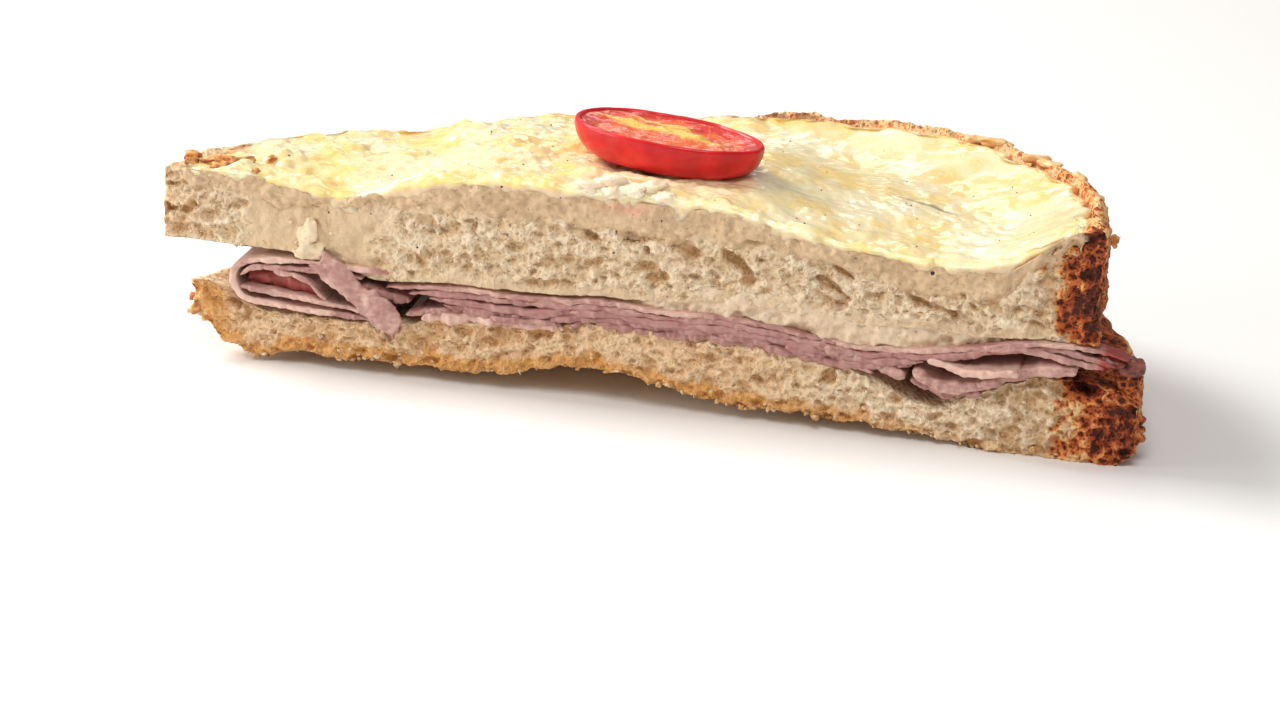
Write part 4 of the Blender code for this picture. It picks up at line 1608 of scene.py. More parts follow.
@dataclass
class Tomato:
    """Half a small tomato, cut side up: a skin with a rolled rim and the wet flesh inside it."""

    noise: Noise
    radii: Triple = (14.2, 8.2, 5.2)
    lean: Triple = (math.radians(-2.5), math.radians(3.0), math.radians(-7.0))
    columns: int = 160
    rim: float = 0.8

    def middle(self) -> Vector:
        """Middle of the cut face."""
        low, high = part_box("tomato_half")
        return Vector((0.5 * (low.x + high.x), 0.5 * (low.y + high.y), high.z - self.rim * MM)) / MM

    def plan(self) -> tuple[Array, Array]:
        """Outline of the cut face for a radius of one, blunter at its left end."""
        angle = np.linspace(0.0, 2.0 * math.pi, self.columns, endpoint=False) + math.pi / self.columns
        angle = angle - math.pi
        cosine, sine = np.cos(angle), np.sin(angle)
        power = np.where(cosine < 0.0, 2.0 / 2.35, 1.0)
        x = np.sign(cosine) * np.abs(cosine) ** power
        y = np.sign(sine) * np.abs(sine) ** np.where(cosine < 0.0, 2.0 / 2.2, 1.0)
        return x, y

    def placed(self, points: Array) -> Array:
        """Lean the half and set it in its place."""
        turn = (
            Matrix.Rotation(self.lean[2], 3, "Z")
            @ Matrix.Rotation(self.lean[1], 3, "Y")
            @ Matrix.Rotation(self.lean[0], 3, "X")
        )
        return points @ np.array(turn).T + np.array(self.middle())

    def skin(self) -> bpy.types.Object:
        """Make the skin: a shell from its lowest point up to the rim and in under the flesh."""
        turn = np.linspace(-0.5 * math.pi + 0.03, 0.0, 34)
        radius = np.concatenate([np.cos(turn) ** 0.35, [0.99, 0.97, 0.95, 0.93, 0.915, 0.905]])
        height = np.concatenate([np.sin(turn), [0.05, 0.07, 0.06, 0.02, -0.04, -0.10]])
        inner = np.linspace(0.9, 0.02, 8)
        radius = np.concatenate([radius, inner])[:, None]
        height = np.concatenate([height, np.full(8, -0.2)])[:, None]
        px, py = self.plan()
        x = self.radii[0] * radius * px
        y = self.radii[1] * radius * py
        z = self.radii[2] * height + 0.0 * x
        wobble = 0.22 * self.noise.layers(x, y, z, 4.0, 2) + 0.05 * self.noise.layers(x, y, z, 1.2, 2)
        out = np.sqrt(np.maximum(radius, 0.0))
        x = x + wobble * px * out
        y = y + wobble * py * out
        points = self.placed(np.stack([x, y, z], axis=-1))
        return place_lattice("tomato_skin", points, TomatoSkinFinish(), Slot.TOMATO, ("tomato_half",))

    def flesh(self) -> bpy.types.Object:
        """Make the flesh: a slightly sunken face with a streaked core and seed pockets."""
        radius = np.concatenate([np.linspace(0.03, 0.9, 6), [0.93], np.linspace(0.94, 0.03, 44)])
        top = np.concatenate([np.zeros(6), [0.4], np.ones(44)])[:, None]
        radius = radius[:, None]
        px, py = self.plan()
        x = self.radii[0] * radius * px
        y = self.radii[1] * radius * py
        span = radius + 0.0 * x
        relief = 0.35 * self.noise.layers(x, y, 1.0, 3.4, 3)
        relief = relief + 0.16 * self.noise.layers(0.4 * x, y, 5.0, 0.9, 3)
        bent = y + 0.10 * x + 0.9 * self.noise.layers(x, 0.0 * y, 3.0, 5.0, 2)
        core = bell(bent, 0.6, 1.2) * smooth(np.abs(x + 2.0), 12.5, 6.0)
        core = core + 0.6 * bell(bent, 3.6, 0.8) * bell(x, -2.0, 8.0)
        pocket = bell(y, 3.9, 1.5) * bell(x, 4.5, 4.0) + bell(y, -3.6, 1.6) * bell(x, -1.0, 7.0)
        dish = -0.45 + 0.45 * smooth(span, 0.72, 0.92) + 0.5 * core - 0.6 * pocket
        z = np.where(top > 0.5, dish + relief * smooth(span, 0.95, 0.8), -1.2 + 0.9 * top)
        points = self.placed(np.stack([x, y, z], axis=-1))
        marks = {
            "core": np.clip(core + 0.25 * bell(span, 0.0, 0.6), 0.0, 1.0),
            "rim": smooth(span, 0.72, 0.92),
        }
        finish = TomatoFleshFinish()
        return place_lattice("tomato_flesh", points, finish, Slot.TOMATO, ("tomato_half",), marks)


# ---- Small things ----


@dataclass(frozen=True)
class Bit:
    """One small thing: where its middle is, its half sizes and how it is turned."""

    place: Triple
    half: Triple
    turn: float = 0.0
    rise: float = 0.0


@dataclass
class Bits:
    """Small things of one kind, joined into one mesh."""

    name: str
    finish: Finish
    slot: Slot
    noise: Noise
    detail: int = 2
    rough: float = 0.3
    blunt: float = 1.0
    bits: list[Bit] = field(default_factory=list)

    def put(self, x: float, y: float, z: float, half: Triple, turn: float = 0.0, rise: float = 0.0) -> None:
        """Add a small thing."""
        self.bits.append(Bit((x, y, z), half, turn, rise))

    def ball(self) -> tuple[Array, Array]:
        """Corners and faces of a ball of radius one."""
        shape = bmesh.new()
        bmesh.ops.create_icosphere(shape, subdivisions=self.detail, radius=1.0)
        corners = np.array([tuple(vert.co) for vert in shape.verts])
        shape.verts.index_update()
        faces = np.array([[vert.index for vert in face.verts] for face in shape.faces])
        shape.free()
        return corners, faces

    def build(self) -> bpy.types.Object:
        """Shape all of them and make the piece."""
        corners, faces = self.ball()
        points, all_faces = [], []
        for number, bit in enumerate(self.bits):
            seed = 11.7 * number
            swell = 1.0 + self.rough * self.noise.layers(
                1.3 * corners[:, 0] + seed, 1.3 * corners[:, 1], 1.3 * corners[:, 2], 1.0, 2
            )
            turn = Matrix.Rotation(bit.turn, 3, "Z") @ Matrix.Rotation(bit.rise, 3, "Y")
            box = np.sign(corners) * np.abs(corners) ** self.blunt
            shaped = box * swell[:, None] * np.array(bit.half)
            points.append(shaped @ np.array(turn).T + np.array(bit.place))
            all_faces.append(faces + number * len(corners))
        points, all_faces = np.concatenate(points), np.concatenate(all_faces)
        return Piece(self.name, points, all_faces, self.finish, self.slot).place()


# ---- Studio ----


@dataclass
class Studio:
    """Pale floor, soft light mostly from the upper left, and the camera."""

    target: tuple[float, float, float] = (1.436, CUT, 22.387)
    azimuth: float = math.radians(12.0)
    elevation: float = math.radians(19.0)
    roll: float = math.radians(2.68)
    distance: float = 553.0
    lens: float = 110.0
    aim_right: float = -1.7
    aim_up: float = -13.86

    AIR = (1.0, 0.95, 0.88, 1.0)
    AIR_STRENGTH = 0.27
    LAMPS = (
        ("key", (-0.60, 0.12, 0.62), 0.35, 7.0, (1.0, 0.985, 0.96)),
        ("fill", (0.10, -0.55, 0.95), 0.5, 5.0, (1.0, 0.985, 0.965)),
        ("side", (-0.95, -0.42, 0.22), 0.4, 4.2, (1.0, 0.97, 0.93)),
        ("sheen", (-0.22, 0.95, 0.50), 0.25, 0.5, (1.0, 0.98, 0.95)),
    )

    def back(self) -> Vector:
        """Direction from the target to the camera."""
        flat = math.cos(self.elevation)
        return Vector(
            (math.sin(self.azimuth) * flat, -math.cos(self.azimuth) * flat, math.sin(self.elevation))
        )

    def camera(self) -> None:
        """Make the camera, aimed a little below the target."""
        data = bpy.data.cameras.new("camera")
        data.lens = self.lens
        data.clip_end = 20.0
        camera = bpy.data.objects.new("camera", data)
        bpy.context.scene.collection.objects.link(camera)
        back = self.back()
        right = Vector((0.0, 0.0, 1.0)).cross(back).normalized()
        up = back.cross(right)
        turned_right = right * math.cos(self.roll) + up * math.sin(self.roll)
        turned_up = up * math.cos(self.roll) - right * math.sin(self.roll)
        target = Vector(self.target)
        place = target + back * self.distance
        aim = target + turned_right * self.aim_right + turned_up * self.aim_up
        look = (place - aim).normalized()
        side = turned_up.cross(look).normalized()
        above = look.cross(side)
        camera.matrix_world = Matrix.Translation(place * MM) @ Matrix(
            (
                (side.x, above.x, look.x, 0.0),
                (side.y, above.y, look.y, 0.0),
                (side.z, above.z, look.z, 0.0),
                (0.0, 0.0, 0.0, 1.0),
            )
        )
        bpy.context.scene.camera = camera

    def light(self, name: str, place: Vector, size: float, power: float, tint: Colour) -> None:
        """Hang a soft square light that shines on the half."""
        data = bpy.data.lights.new(name, "AREA")
        data.shape = "SQUARE"
        data.size = size
        data.energy = power
        data.color = tint
        light = bpy.data.objects.new(name, data)
        light.location = place
        light.rotation_euler = (place - Vector((0.0, 0.0, 0.015))).to_track_quat("Z", "Y").to_euler()
        bpy.context.scene.collection.objects.link(light)

    def floor(self) -> None:
        """Lay the floor."""
        ground = bmesh.new()
        bmesh.ops.create_grid(ground, x_segments=1, y_segments=1, size=4.0)
        mesh = bpy.data.meshes.new("floor")
        ground.to_mesh(mesh)
        ground.free()
        graph = Graph("floor")
        mesh.materials.append(graph.finish({}, {"Base Color": (0.92, 0.92, 0.92), "Roughness": 0.6}))
        floor = bpy.data.objects.new("floor", mesh)
        bpy.context.scene.collection.objects.link(floor)

    def build(self) -> None:
        """Set up the studio."""
        scene = bpy.context.scene
        scene.view_settings.view_transform = "Standard"
        world = bpy.data.worlds.new("world")
        world.use_nodes = True
        sky = world.node_tree.nodes["Background"]
        sky.inputs["Color"].default_value = self.AIR
        sky.inputs["Strength"].default_value = self.AIR_STRENGTH
        scene.world = world
        self.floor()
        for name, place, size, power, tint in self.LAMPS:
            self.light(name, Vector(place), size, power, tint)
        self.camera()


# ---- The whole half ----


class CroqueMonsieur:
    """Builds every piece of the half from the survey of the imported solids."""

    def __init__(self) -> None:
        """Survey the solids."""
        self.survey = Survey()
        self.roof = self.survey.heights("bechamel_inner", Side.BOTTOM)
        self.over_sauce = self.survey.heights("bechamel_top", Side.TOP)
        self.over_cheese = self.survey.heights("cheese_top", Side.TOP, 2.6)
        self.ham_finish = HamFinish("ham")
        self.lower: LowerSlice | None = None
        self.upper: UpperSlice | None = None
        self.upper_sauce: Sauce | None = None
        self.cheese: Cheese | None = None

    def bread(self) -> None:
        """Build both slices."""
        finish = BreadFinish("bread")
        foam = Foam((-69.0, -0.5), (72.0, 15.5), 11)
        foam.scatter(2600, 0.30, 0.42, lambda x: -6.0 + 4.0 * math.sin(0.08 * x))
        foam.scatter(230, 0.62, 0.35, lambda x: -8.0)
        foam.thicken(52.0, 72.0, 420, 0.5)
        self.lower = LowerSlice(
            "lower_slice",
            self.survey.outline("bread_bottom"),
            finish,
            Slot.BREAD,
            ("bread_bottom",),
            under=self.survey.heights("bread_bottom", Side.BOTTOM),
            over=self.survey.heights("bread_bottom", Side.TOP),
            foam=foam.settle(0.6, 1.8),
            noise=Noise(21),
            columns=620,
            wall_rows=46,
            crust_right=12.0,
            crust_left=3.4,
        )
        self.lower.build()
        foam = Foam((-72.0, 12.0), (67.0, 36.0), 12)
        foam.scatter(4200, 0.30, 0.42, lambda x: float(blend(2.0, -22.0, smooth(x, 0.0, 50.0))))
        foam.scatter(420, 0.62, 0.35, lambda x: float(blend(0.0, -20.0, smooth(x, 0.0, 50.0))))
        foam.thicken(56.0, 67.0, 420, 0.55)
        for pore in (
            Pore(6.8, 24.3, 2.3, 1.05, 2.2, -10.0),
            Pore(13.6, 23.6, 2.9, 0.95, 2.2, -38.0),
            Pore(-22.3, 26.9, 2.4, 0.45, 1.8, -8.0),
            Pore(2.5, 20.0, 1.7, 0.9, 1.8, 0.0),
            Pore(-7.5, 25.2, 1.8, 0.8, 1.8, -30.0),
            Pore(9.5, 18.6, 1.3, 0.7, 1.8, -10.0),
            Pore(26.5, 22.0, 2.2, 0.8, 2.0, -22.0),
            Pore(28.8, 23.9, 1.9, 0.6, 1.8, -30.0),
            Pore(40.0, 20.8, 2.0, 0.6, 1.8, -20.0),
            Pore(45.5, 19.5, 2.3, 0.65, 1.8, -18.0),
            Pore(-65.5, 27.5, 1.3, 0.8, 1.6, 40.0),
            Pore(-67.0, 23.0, 1.0, 0.7, 1.5, 0.0),
        ):
            foam.open(pore)
        self.upper = UpperSlice(
            "upper_slice",
            self.survey.outline("bread_top"),
            finish,
            Slot.BREAD,
            ("bread_top",),
            under=self.survey.heights("bread_top", Side.BOTTOM),
            over=self.survey.heights("bread_top", Side.TOP),
            foam=foam.settle(0.6, 1.9),
            noise=Noise(22),
            columns=620,
            wall_rows=52,
            rim=self.over_cheese,
            roof=self.roof,
            crust_right=7.5,
            crust_left=2.4,
        )
        self.upper.build()

    def sauce(self) -> None:
        """Build both layers of bechamel."""
        over_inner = self.survey.heights("bechamel_inner", Side.TOP)
        Sauce(
            "inner_sauce",
            self.survey.outline("bechamel_inner"),
            SauceFinish("bechamel_inside", pale=(0.84, 0.68, 0.49), deep=(0.72, 0.54, 0.36)),
            Slot.BECHAMEL,
            ("bechamel_inner",),
            under=self.roof.at,
            over=lambda x, y: over_inner.at(x, y) + 1.8 * np.exp(-(y - CUT) / 2.0) + 0.2,
            noise=Noise(31),
            bulge=0.0,
            overlap=0.1,
            foot=0.2,
            top=0.8,
            tuck=(1.6, 1.3),
            foam=self.upper.foam,
            pitted=0.3,
            wall_rows=18,
            top_rows=6,
            columns=420,
        ).build()
        self.upper_sauce = Sauce(
            "upper_sauce",
            self.survey.outline("bechamel_top"),
            SauceFinish("bechamel"),
            Slot.BECHAMEL,
            ("bechamel_top",),
            under=self.upper.over.at,
            over=lambda x, y: self.over_sauce.at(x, y) + 1.3 * np.exp(-(y - CUT) / 3.0),
            noise=Noise(32),
            juice=1.0,
            foam=self.upper.foam,
            wall_rows=26,
            top_rows=6,
            columns=460,
            grow=-0.9,
        )
        self.upper_sauce.build()

    def topping(self) -> None:
        """Build the melted cheese."""
        lumps = (
            Lump(-33.5, 27.0, 5.2, 4.2, 2.1),
            Lump(-40.0, 3.0, 4.0, 2.0, 0.9),
            Lump(-47.0, 1.5, 3.0, 1.6, 0.7),
            Lump(-60.0, 2.0, 2.2, 1.8, 0.9),
            Lump(-56.0, 8.0, 2.6, 2.0, 1.1),
            Lump(-62.0, 6.0, 3.4, 1.3, 0.9, 20.0),
            Lump(-5.0, 3.5, 2.4, 1.8, 1.1),
            Lump(-1.6, 4.4, 1.8, 1.4, 0.8),
            Lump(2.4, 3.4, 2.6, 1.6, 0.9),
            Lump(-7.6, 1.5, 1.4, 1.1, 0.7),
            Lump(-1.6, 7.5, 9.0, 1.6, 0.8, -7.0),
            Lump(23.6, 1.2, 2.6, 1.7, 0.9),
            Lump(-20.0, 1.2, 2.4, 1.3, 0.6),
            Lump(-13.0, 2.2, 1.8, 1.2, 0.6),
            Lump(44.0, 1.5, 2.2, 1.4, 0.6),
            Lump(55.0, 2.5, 2.0, 1.4, 0.7),
        )
        self.cheese = Cheese(
            "melted_cheese",
            self.survey.outline("cheese_top"),
            CheeseFinish("cheese"),
            Slot.CHEESE,
            ("cheese_top",),
            under=self.over_sauce.at,
            over=self.over_cheese,
            strands=Strands(41, 620).grid(),
            lumps=lumps,
            noise=Noise(42),
            columns=380,
            under_rows=4,
            wall_rows=18,
            top_rows=100,
        )
        self.cheese.build()

    def under_roof(self, drops: tuple[tuple[float, float], ...]) -> Line:
        """Line below the ham's top, from places along the cut and the drop at each of them."""
        places, depths = np.array(drops).T
        x = np.arange(places[0], places[-1] + 2.0, 4.0)
        z = self.roof.at(x, CUT + 1.0) - np.interp(x, places, depths)
        return [(float(a), float(b)) for a, b in zip(x, z)]

    def ham_limit(self, x: Array) -> Array:
        """How far back ham may reach, so that it stays inside the slices."""
        inside = np.minimum(self.upper.outline.reach_at(x), self.lower.outline.reach_at(x)) - 3.5
        return np.maximum(inside * smooth(x, 66.0, 61.0), 2.6)

    def sheet_knots(self, node: str, share: float, start: float, end: float) -> Line:
        """Line at a share of a flat sheet's thickness, between two places along the cut."""
        low = self.survey.heights(node, Side.BOTTOM, 0.6)
        high = self.survey.heights(node, Side.TOP, 0.6)
        places = np.linspace(start, end, max(int(abs(end - start) / 4.0), 4))
        heights = blend(low.at(places, CUT + 1.0), high.at(places, CUT + 1.0), share)
        return [(float(x), float(z)) for x, z in zip(places, heights)]

    def leaf(self, name: str, node: str, seed: int, knots: Line, **shape: Any) -> None:
        """Build one leaf of ham.

        Args:
            name: Name of the piece.
            node: Solid that it stands for.
            seed: Seed of its raggedness.
            knots: Points that its section on the cut goes through.
            shape: Fields of the leaf that differ from the usual ones.
        """
        HamLeaf(name, knots, (node,), Noise(seed), self.ham_finish, **shape).build()

    def long_leaves(self) -> None:
        """Build the leaves that run along most of the cut, under the upper slice."""
        top, middle = "ham_sheet_top", "ham_sheet_middle"
        inside = {"follow": self.roof, "limit": self.ham_limit}
        # Low pale values on the leaves in the middle of the cut are painted shade.
        knots = [(x, z + 0.4) for x, z in self.sheet_knots(top, 0.72, -37.5, 69.6)]
        self.leaf(
            "ham_top_leaf", top, 51, knots, thickness=0.75, reach=34.0, pale=0.45, wave=0.12,
            ragged=0.4, burnt=0.9, **inside,
        )
        knots = [(x, z + 0.2) for x, z in self.sheet_knots(top, 0.12, -34.0, 68.0)]
        self.leaf(
            "ham_second_leaf", top, 52, knots, reach=33.0, pale=0.25, proud=0.1, ragged=0.35,
            wave=0.12, burnt=1.0, **inside,
        )
        knots = self.under_roof(((-31.0, 2.3), (-24.0, 2.75), (-15.0, 2.75), (-9.0, 2.4), (42.0, 2.4)))
        self.leaf(
            "ham_third_leaf", middle, 53, knots, thickness=1.1, reach=33.0, pale=0.1, proud=0.15,
            ragged=0.4, wave=0.14, **inside,
        )
        knots = self.under_roof(((-29.0, 3.3), (-24.0, 3.8), (-14.0, 3.7), (-8.0, 3.2), (38.0, 3.2)))
        self.leaf(
            "ham_fourth_leaf", middle, 54, knots, thickness=1.1, reach=33.0, pale=0.05, proud=0.0,
            ragged=0.6, wave=0.14, **inside,
        )
        knots = self.under_roof(((-10.0, 4.1), (36.0, 3.9)))
        self.leaf(
            "ham_fifth_leaf", middle, 59, knots, thickness=1.1, reach=30.0, pale=0.15, proud=0.0,
            ragged=0.9, wave=0.2, **inside,
        )

    def short_leaves(self) -> None:
        """Build the leaves left of the middle, in the dip at the right and beside its pocket."""
        left, right, middle = "ham_sheet_left", "ham_sheet_right", "ham_sheet_middle"
        self.leaf(
            "ham_left_leaf", left, 55, self.sheet_knots(left, 0.75, -34.5, -12.0), thickness=0.9,
            reach=30.0, wave=0.15, ragged=0.7,
        )
        self.leaf(
            "ham_left_paste", left, 56, self.sheet_knots(left, 0.1, -32.0, -11.0), thickness=1.3,
            reach=30.0, pale=0.75, ragged=1.0, proud=0.0,
        )
        self.leaf(
            "ham_dip_leaf", right, 60, [(27.0, 13.2), (31.0, 12.2), (35.0, 10.9), (38.6, 9.6)],
            thickness=1.5, reach=24.0, pale=0.35, ragged=0.7, proud=0.1, wave=0.3,
        )
        self.leaf(
            "ham_step_leaf", middle, 68, [(25.0, 13.9), (30.0, 13.1), (34.5, 12.0), (39.4, 11.4)],
            reach=26.0, pale=0.15, ragged=0.6, proud=-0.1, wave=0.2,
        )
        # The leaves at the right get higher pale values, partly as painted light.
        knots = [
            (39.6, 10.9), (42.0, 9.7), (45.0, 9.2), (48.6, 9.7), (52.6, 11.5), (57.0, 12.9), (62.5, 13.3),
        ]
        self.leaf(
            "ham_right_leaf", right, 57, knots, thickness=1.7, reach=26.0, pale=0.5, proud=0.5,
            ragged=0.6, limit=self.ham_limit,
        )
        self.leaf(
            "ham_right_under", right, 58, [(39.4, 9.6), (42.5, 8.3), (46.0, 7.9), (49.5, 8.6)],
            thickness=1.1, reach=24.0, pale=0.2, ragged=0.9, proud=-0.2,
        )
        knots = [(50.5, 15.3), (54.5, 16.0), (59.0, 15.2), (62.5, 14.6), (66.3, 14.5)]
        self.leaf(
            "ham_right_sub_leaf", right, 69, knots, thickness=0.9, pale=0.4, proud=0.3, burnt=0.9,
            limit=self.ham_limit,
        )

    def folds(self) -> None:
        """Build the folded slices at the pale end and the knot of ham beside them."""
        outer, inner = "ham_fold_outer", "ham_fold_inner"
        knots = [
            (-37.0, 16.0), (-46.0, 16.3), (-54.0, 16.1), (-59.2, 15.2), (-60.6, 12.8),
            (-58.6, 10.0), (-52.0, 9.3), (-45.0, 8.9), (-38.0, 8.6),
        ]
        self.leaf(
            "ham_fold_outer", outer, 61, knots, thickness=0.9, reach=22.0, pale=0.7, proud=0.4,
            wave=0.15, ragged=0.4,
        )
        knots = [(-41.0, 14.8), (-47.0, 15.1), (-53.0, 15.0), (-57.4, 14.6), (-59.3, 13.4)]
        self.leaf(
            "ham_fold_middle", outer, 62, knots, thickness=0.8, pale=0.45, proud=0.1, wave=0.1,
            ragged=0.4,
        )
        knots = [(-59.3, 11.6), (-55.0, 11.0), (-48.0, 10.6), (-41.0, 9.9), (-37.0, 9.5)]
        self.leaf("ham_fold_lower", outer, 81, knots, thickness=0.8, pale=0.45, wave=0.12, ragged=0.4)
        knots = [(-46.4, 10.8), (-47.8, 11.8), (-48.8, 13.2), (-51.0, 14.1), (-54.4, 14.3)]
        self.leaf(
            "ham_fold_inner", inner, 63, knots, thickness=0.7, reach=16.0, pale=0.6, proud=0.3,
            wave=0.1, ragged=0.3,
        )
        # The pocket's leaf, set back behind the cut, is painted dark red: painted shade in the pocket of
        # the fold.
        self.leaf(
            "ham_pocket", inner, 64, [(-58.8, 12.6), (-54.0, 12.7), (-50.0, 12.3), (-48.0, 11.6)],
            thickness=2.6, reach=12.0, pale=0.0, dark=0.75, proud=-1.6,
        )
        # The knot is painted darker behind its nose: painted shade.
        self.leaf(
            "ham_left_knot", inner, 73, [(-46.0, 13.6), (-42.0, 13.0), (-38.0, 12.4), (-34.0, 12.2)],
            thickness=1.5, reach=14.0, pale=0.05, proud=-0.7, ragged=1.0, dark_inside=0.5,
        )

    def scraps(self) -> None:
        """Build the two pale scraps in the pocket, the torn flap and the loose flap of crust."""
        scrap = {"reach": 7.0, "pale": 1.0, "wave": 0.05, "ragged": 0.3}
        knots = [(41.6, 12.9), (44.0, 12.5), (46.6, 11.8), (49.0, 12.0)]
        self.leaf("ham_scrap_left", "ham_scrap_left", 65, knots, proud=1.0, **scrap)
        knots = [(46.4, 11.9), (49.5, 12.1), (52.6, 12.5), (54.8, 12.9)]
        self.leaf("ham_scrap_right", "ham_scrap_right", 66, knots, thickness=1.1, proud=1.6, **scrap)
        Flap(
            "ham_flap", [(-47.4, 17.0), (-42.6, 13.4), (-38.6, 10.6), (-35.4, 8.0)], Slot.HAM,
            ("ham_flap",), Noise(67), self.ham_finish, width=3.9,
        ).build()
        Flap(
            "crust_flap", [(68.9, 14.2), (69.6, 10.5), (70.3, 7.0), (70.9, 3.0)], Slot.BREAD,
            ("bread_bottom",), Noise(74), BreadFinish("crust_flap"), width=3.4, thickness=1.3,
            proud=-3.0, torn=0.5, crust=0.82, curl=2.0,
        ).build()

    def pepper(self, random: np.random.Generator) -> None:
        """Build the pepper, on the cut and on the cheese."""
        pepper = Bits(
            "pepper_specks", BitFinish("pepper", (0.10, 0.06, 0.04), (0.02, 0.015, 0.012)),
            Slot.BECHAMEL, Noise(72), detail=1,
        )
        for x, z, size, layer in (
            (-20.8, 31.0, 0.26, self.upper_sauce), (-12.2, 30.4, 0.22, self.upper_sauce),
            (-4.0, 26.1, 0.24, self.upper), (2.6, 28.7, 0.24, self.upper_sauce),
            (24.2, 25.4, 0.3, self.upper), (41.4, 25.5, 0.42, self.upper_sauce),
            (38.8, 26.2, 0.22, self.upper_sauce), (-4.1, 23.1, 0.2, self.upper),
            (-63.0, 27.0, 0.25, self.upper), (-33.0, 20.5, 0.2, self.upper),
            (-46.5, 24.0, 0.2, self.upper), (-54.6, 24.6, 0.2, self.upper),
            (-2.0, 12.2, 0.25, self.lower), (-40.0, 24.8, 0.2, self.upper),
        ):
            half = (size, 0.5 * size, 0.8 * size)
            pepper.put(x, layer.face_at(x, z) - 0.3 * size, z, half, random.uniform(0.0, 3.0))
        for _ in range(70):
            x = random.uniform(-62.0, 60.0)
            depth = random.uniform(1.0, 44.0)
            y = CUT + depth
            if self.cheese.outline.inset(x, y) < 3.0:
                continue
            z = self.height_on_cheese(x, y)
            size = random.uniform(0.08, 0.2)
            pepper.put(x, y, z + 0.02, (size, 0.8 * size, 0.6 * size), random.uniform(0.0, 3.0))
        pepper.build()

    def crumbs(self, random: np.random.Generator) -> None:
        """Build the crumbs that cling to the cut and hang from its lower edge."""
        crumbs = Bits(
            "loose_crumbs", BitFinish("loose_crumb", (0.88, 0.72, 0.51), (0.66, 0.44, 0.24), 0.9),
            Slot.BREAD, Noise(75), detail=1, rough=0.5,
        )
        for layer, count, low, high in (
            (self.upper, 420, 16.5, 30.0), (self.lower, 420, 1.0, 12.5),
        ):
            for _ in range(count):
                x, y, z = (float(value) for value in layer.face[random.integers(len(layer.face))])
                if not low < z < high or x > 57.0:
                    continue
                size = min(0.16 * math.exp(random.normal(0.0, 0.5)), 0.5)
                half = (size * random.uniform(1.0, 2.0), size, size * random.uniform(0.7, 1.2))
                turn, rise = random.uniform(-0.5, 0.5), random.uniform(-1.5, 1.5)
                crumbs.put(x, y + 0.1 * size, z, half, turn, rise)
        crumbs.build()
        crumbs = Bits(
            "toasted_crumbs", BitFinish("toasted_crumb", (0.82, 0.56, 0.28), (0.52, 0.26, 0.09), 0.9),
            Slot.BREAD, Noise(80), detail=1, rough=0.6,
        )
        for _ in range(110):
            x = random.uniform(-62.0, 66.0)
            y = CUT + random.uniform(-0.1, 1.0)
            size = min(0.18 * math.exp(random.normal(0.0, 0.5)), 0.45)
            z = float(self.lower.low(np.array(x), np.array(y))) + 0.1
            half = (size * random.uniform(0.8, 1.8), size, size * random.uniform(0.7, 1.5))
            crumbs.put(x, y, max(z, 2.4 * size), half, random.uniform(-1.0, 1.0))
        crumbs.build()

    def height_on_cheese(self, x: float, y: float) -> float:
        """Height of the finished cheese at a place."""
        return float(self.cheese.surface(np.array(x), np.array(y)))

    def grated_strands(self) -> None:
        """Build the strands of grated cheese on the rear rim."""
        strands = Bits(
            "grated_strands",
            BitFinish("toasted_cheese", (0.92, 0.66, 0.34), (0.76, 0.40, 0.15), 0.45, 1.6),
            Slot.CHEESE, Noise(76), detail=4, rough=0.22, blunt=0.8,
        )
        for x, back, length, turn in (
            (40.6, 3.4, 1.8, 0.2), (43.2, 2.6, 2.6, -0.1), (50.2, 3.6, 2.4, 0.0),
            (52.6, 3.0, 2.2, -0.5), (57.6, 3.4, 1.6, -0.9),
        ):
            y = CUT + float(self.upper.outline.reach_at(np.array(x))) - back
            z = max(float(self.upper.high(np.array(x), np.array(y))), self.height_on_cheese(x, y))
            strands.put(x, y, z - 0.1, (length, 0.75, 0.65), turn)
        strands.build()

    def browned_bits(self) -> None:
        """Build the browned bits on the pale end, and those that stick to both ends' crust."""
        brown = Bits(
            "browned_bits",
            BitFinish("browned_bit", (0.86, 0.46, 0.15), (0.42, 0.13, 0.04), 0.6, 0.9),
            Slot.BREAD, Noise(77), detail=3, rough=0.6, blunt=0.7,
        )
        for x, depth, half, turn in (
            (-67.5, 1.3, (1.1, 0.6, 0.7), 0.4), (-62.8, 1.2, (1.5, 0.6, 0.5), 0.2),
            (-60.4, 3.0, (2.1, 0.7, 0.6), 0.5), (-57.6, 0.9, (0.5, 0.35, 0.35), 0.0),
            (-63.6, 5.0, (1.8, 0.8, 0.6), -0.3), (-57.0, 6.5, (1.0, 0.6, 0.5), 0.9),
            (-68.0, 3.6, (1.0, 0.7, 0.5), 0.1), (-65.4, 2.6, (1.2, 0.5, 0.5), 0.8),
        ):
            y = CUT + depth
            brown.put(x, y, self.height_on_cheese(x, y) - 0.2 * half[2], half, turn)
        for x, depth, z, half, turn, rise in (
            (65.4, 5.0, 31.4, (0.65, 0.6, 0.7), 0.3, 0.0), (66.0, 5.0, 31.7, (0.35, 0.4, 0.4), 0.0, 0.0),
            (-66.6, 0.6, 6.9, (0.9, 0.9, 1.2), 0.3, 0.5), (-65.0, 0.9, 5.9, (0.7, 0.8, 0.7), 0.0, 0.0),
            (-67.0, 1.4, 8.4, (0.7, 0.9, 0.8), 0.2, 0.0), (71.0, 3.4, 2.6, (0.5, 0.6, 0.5), 0.0, 0.0),
        ):
            brown.put(x, CUT + depth, z, half, turn, rise)
        brown.build()

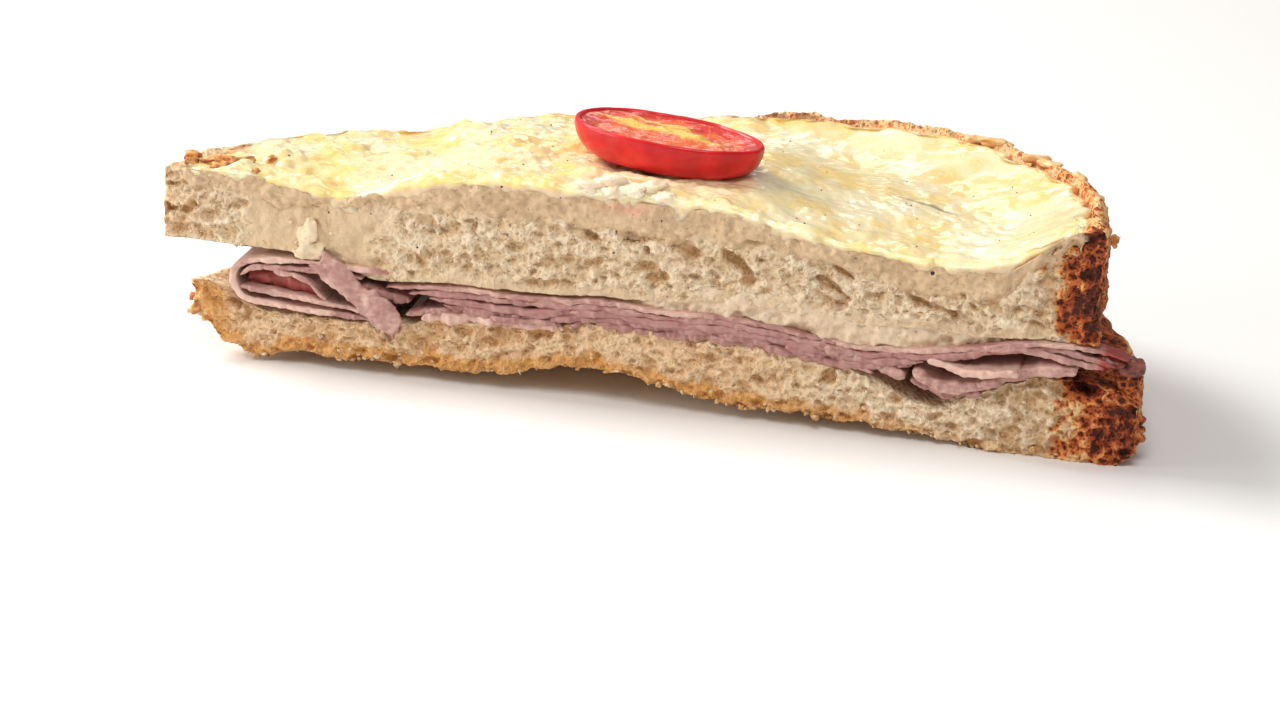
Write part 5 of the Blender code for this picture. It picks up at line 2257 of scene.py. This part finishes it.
    def ham_tip(self) -> None:
        """Build the dark baked tip of the ham at the right end."""
        tip = Bits(
            "ham_tip", BitFinish("ham_tip", (0.34, 0.085, 0.05), (0.13, 0.03, 0.02), 0.22, 1.6),
            Slot.HAM, Noise(83), detail=4, rough=0.35, blunt=0.92,
        )
        tip.put(66.8, CUT + 1.8, 15.1, (3.0, 1.7, 1.0), 0.1, 0.15)
        tip.put(69.6, CUT + 2.6, 14.3, (1.9, 1.6, 1.5), 0.2)
        tip.build()

    def dollops(self) -> None:
        """Build the blobs of bechamel on the cut and the curds in front of the tomato."""
        blobs = Bits(
            "bechamel_dollops", SauceFinish("dollop", pale=(0.86, 0.70, 0.47), deep=(0.76, 0.58, 0.38)),
            Slot.BECHAMEL, Noise(78), detail=4, rough=0.42, blunt=0.85,
        )
        for x, z, half, rise in (
            (-49.2, 20.6, (1.3, 0.8, 2.3), 0.12), (-48.7, 18.6, (1.9, 1.0, 1.5), 0.2),
            (-50.6, 17.8, (1.0, 0.6, 0.8), 0.0),
        ):
            blobs.put(x, self.upper.face_at(x, z) - 0.1 * half[1], z, half, rise=rise)
        blobs.build()
        curds = Bits(
            "cheese_curds", SauceFinish("curd", pale=(0.97, 0.86, 0.66), deep=(0.93, 0.72, 0.50)),
            Slot.CHEESE, Noise(82), detail=4, rough=0.35, blunt=0.9,
        )
        for x, depth, half, turn in (
            (-8.2, 1.1, (2.0, 1.3, 1.0), 0.2), (-5.4, 2.3, (2.3, 1.6, 1.2), 0.5),
            (-4.6, 0.7, (1.6, 1.0, 0.9), 0.0), (-1.8, 1.2, (2.0, 1.3, 1.0), -0.2),
            (0.6, 2.4, (2.0, 1.4, 1.1), 0.3), (2.9, 1.0, (1.7, 1.1, 0.8), 0.1),
        ):
            curds.put(x, CUT + depth, self.height_on_cheese(x, CUT + depth) - 0.35, half, turn)
        curds.build()

    def small_things(self) -> None:
        """Build the pepper, crumbs, strands, browned bits, ham tip and dollops."""
        random = np.random.default_rng(71)
        self.pepper(random)
        self.crumbs(random)
        self.grated_strands()
        self.browned_bits()
        self.ham_tip()
        self.dollops()

    def build(self) -> None:
        """Build everything."""
        self.bread()
        self.sauce()
        self.topping()
        self.long_leaves()
        self.short_leaves()
        self.folds()
        self.scraps()
        tomato = Tomato(Noise(81))
        tomato.skin()
        tomato.flesh()
        self.small_things()


def main() -> None:
    """Build the half and the studio round it."""
    logging.basicConfig(level=logging.INFO, format="%(name)s: %(message)s")
    CroqueMonsieur().build()
    Studio().build()


if __name__ == "__main__":
    main()
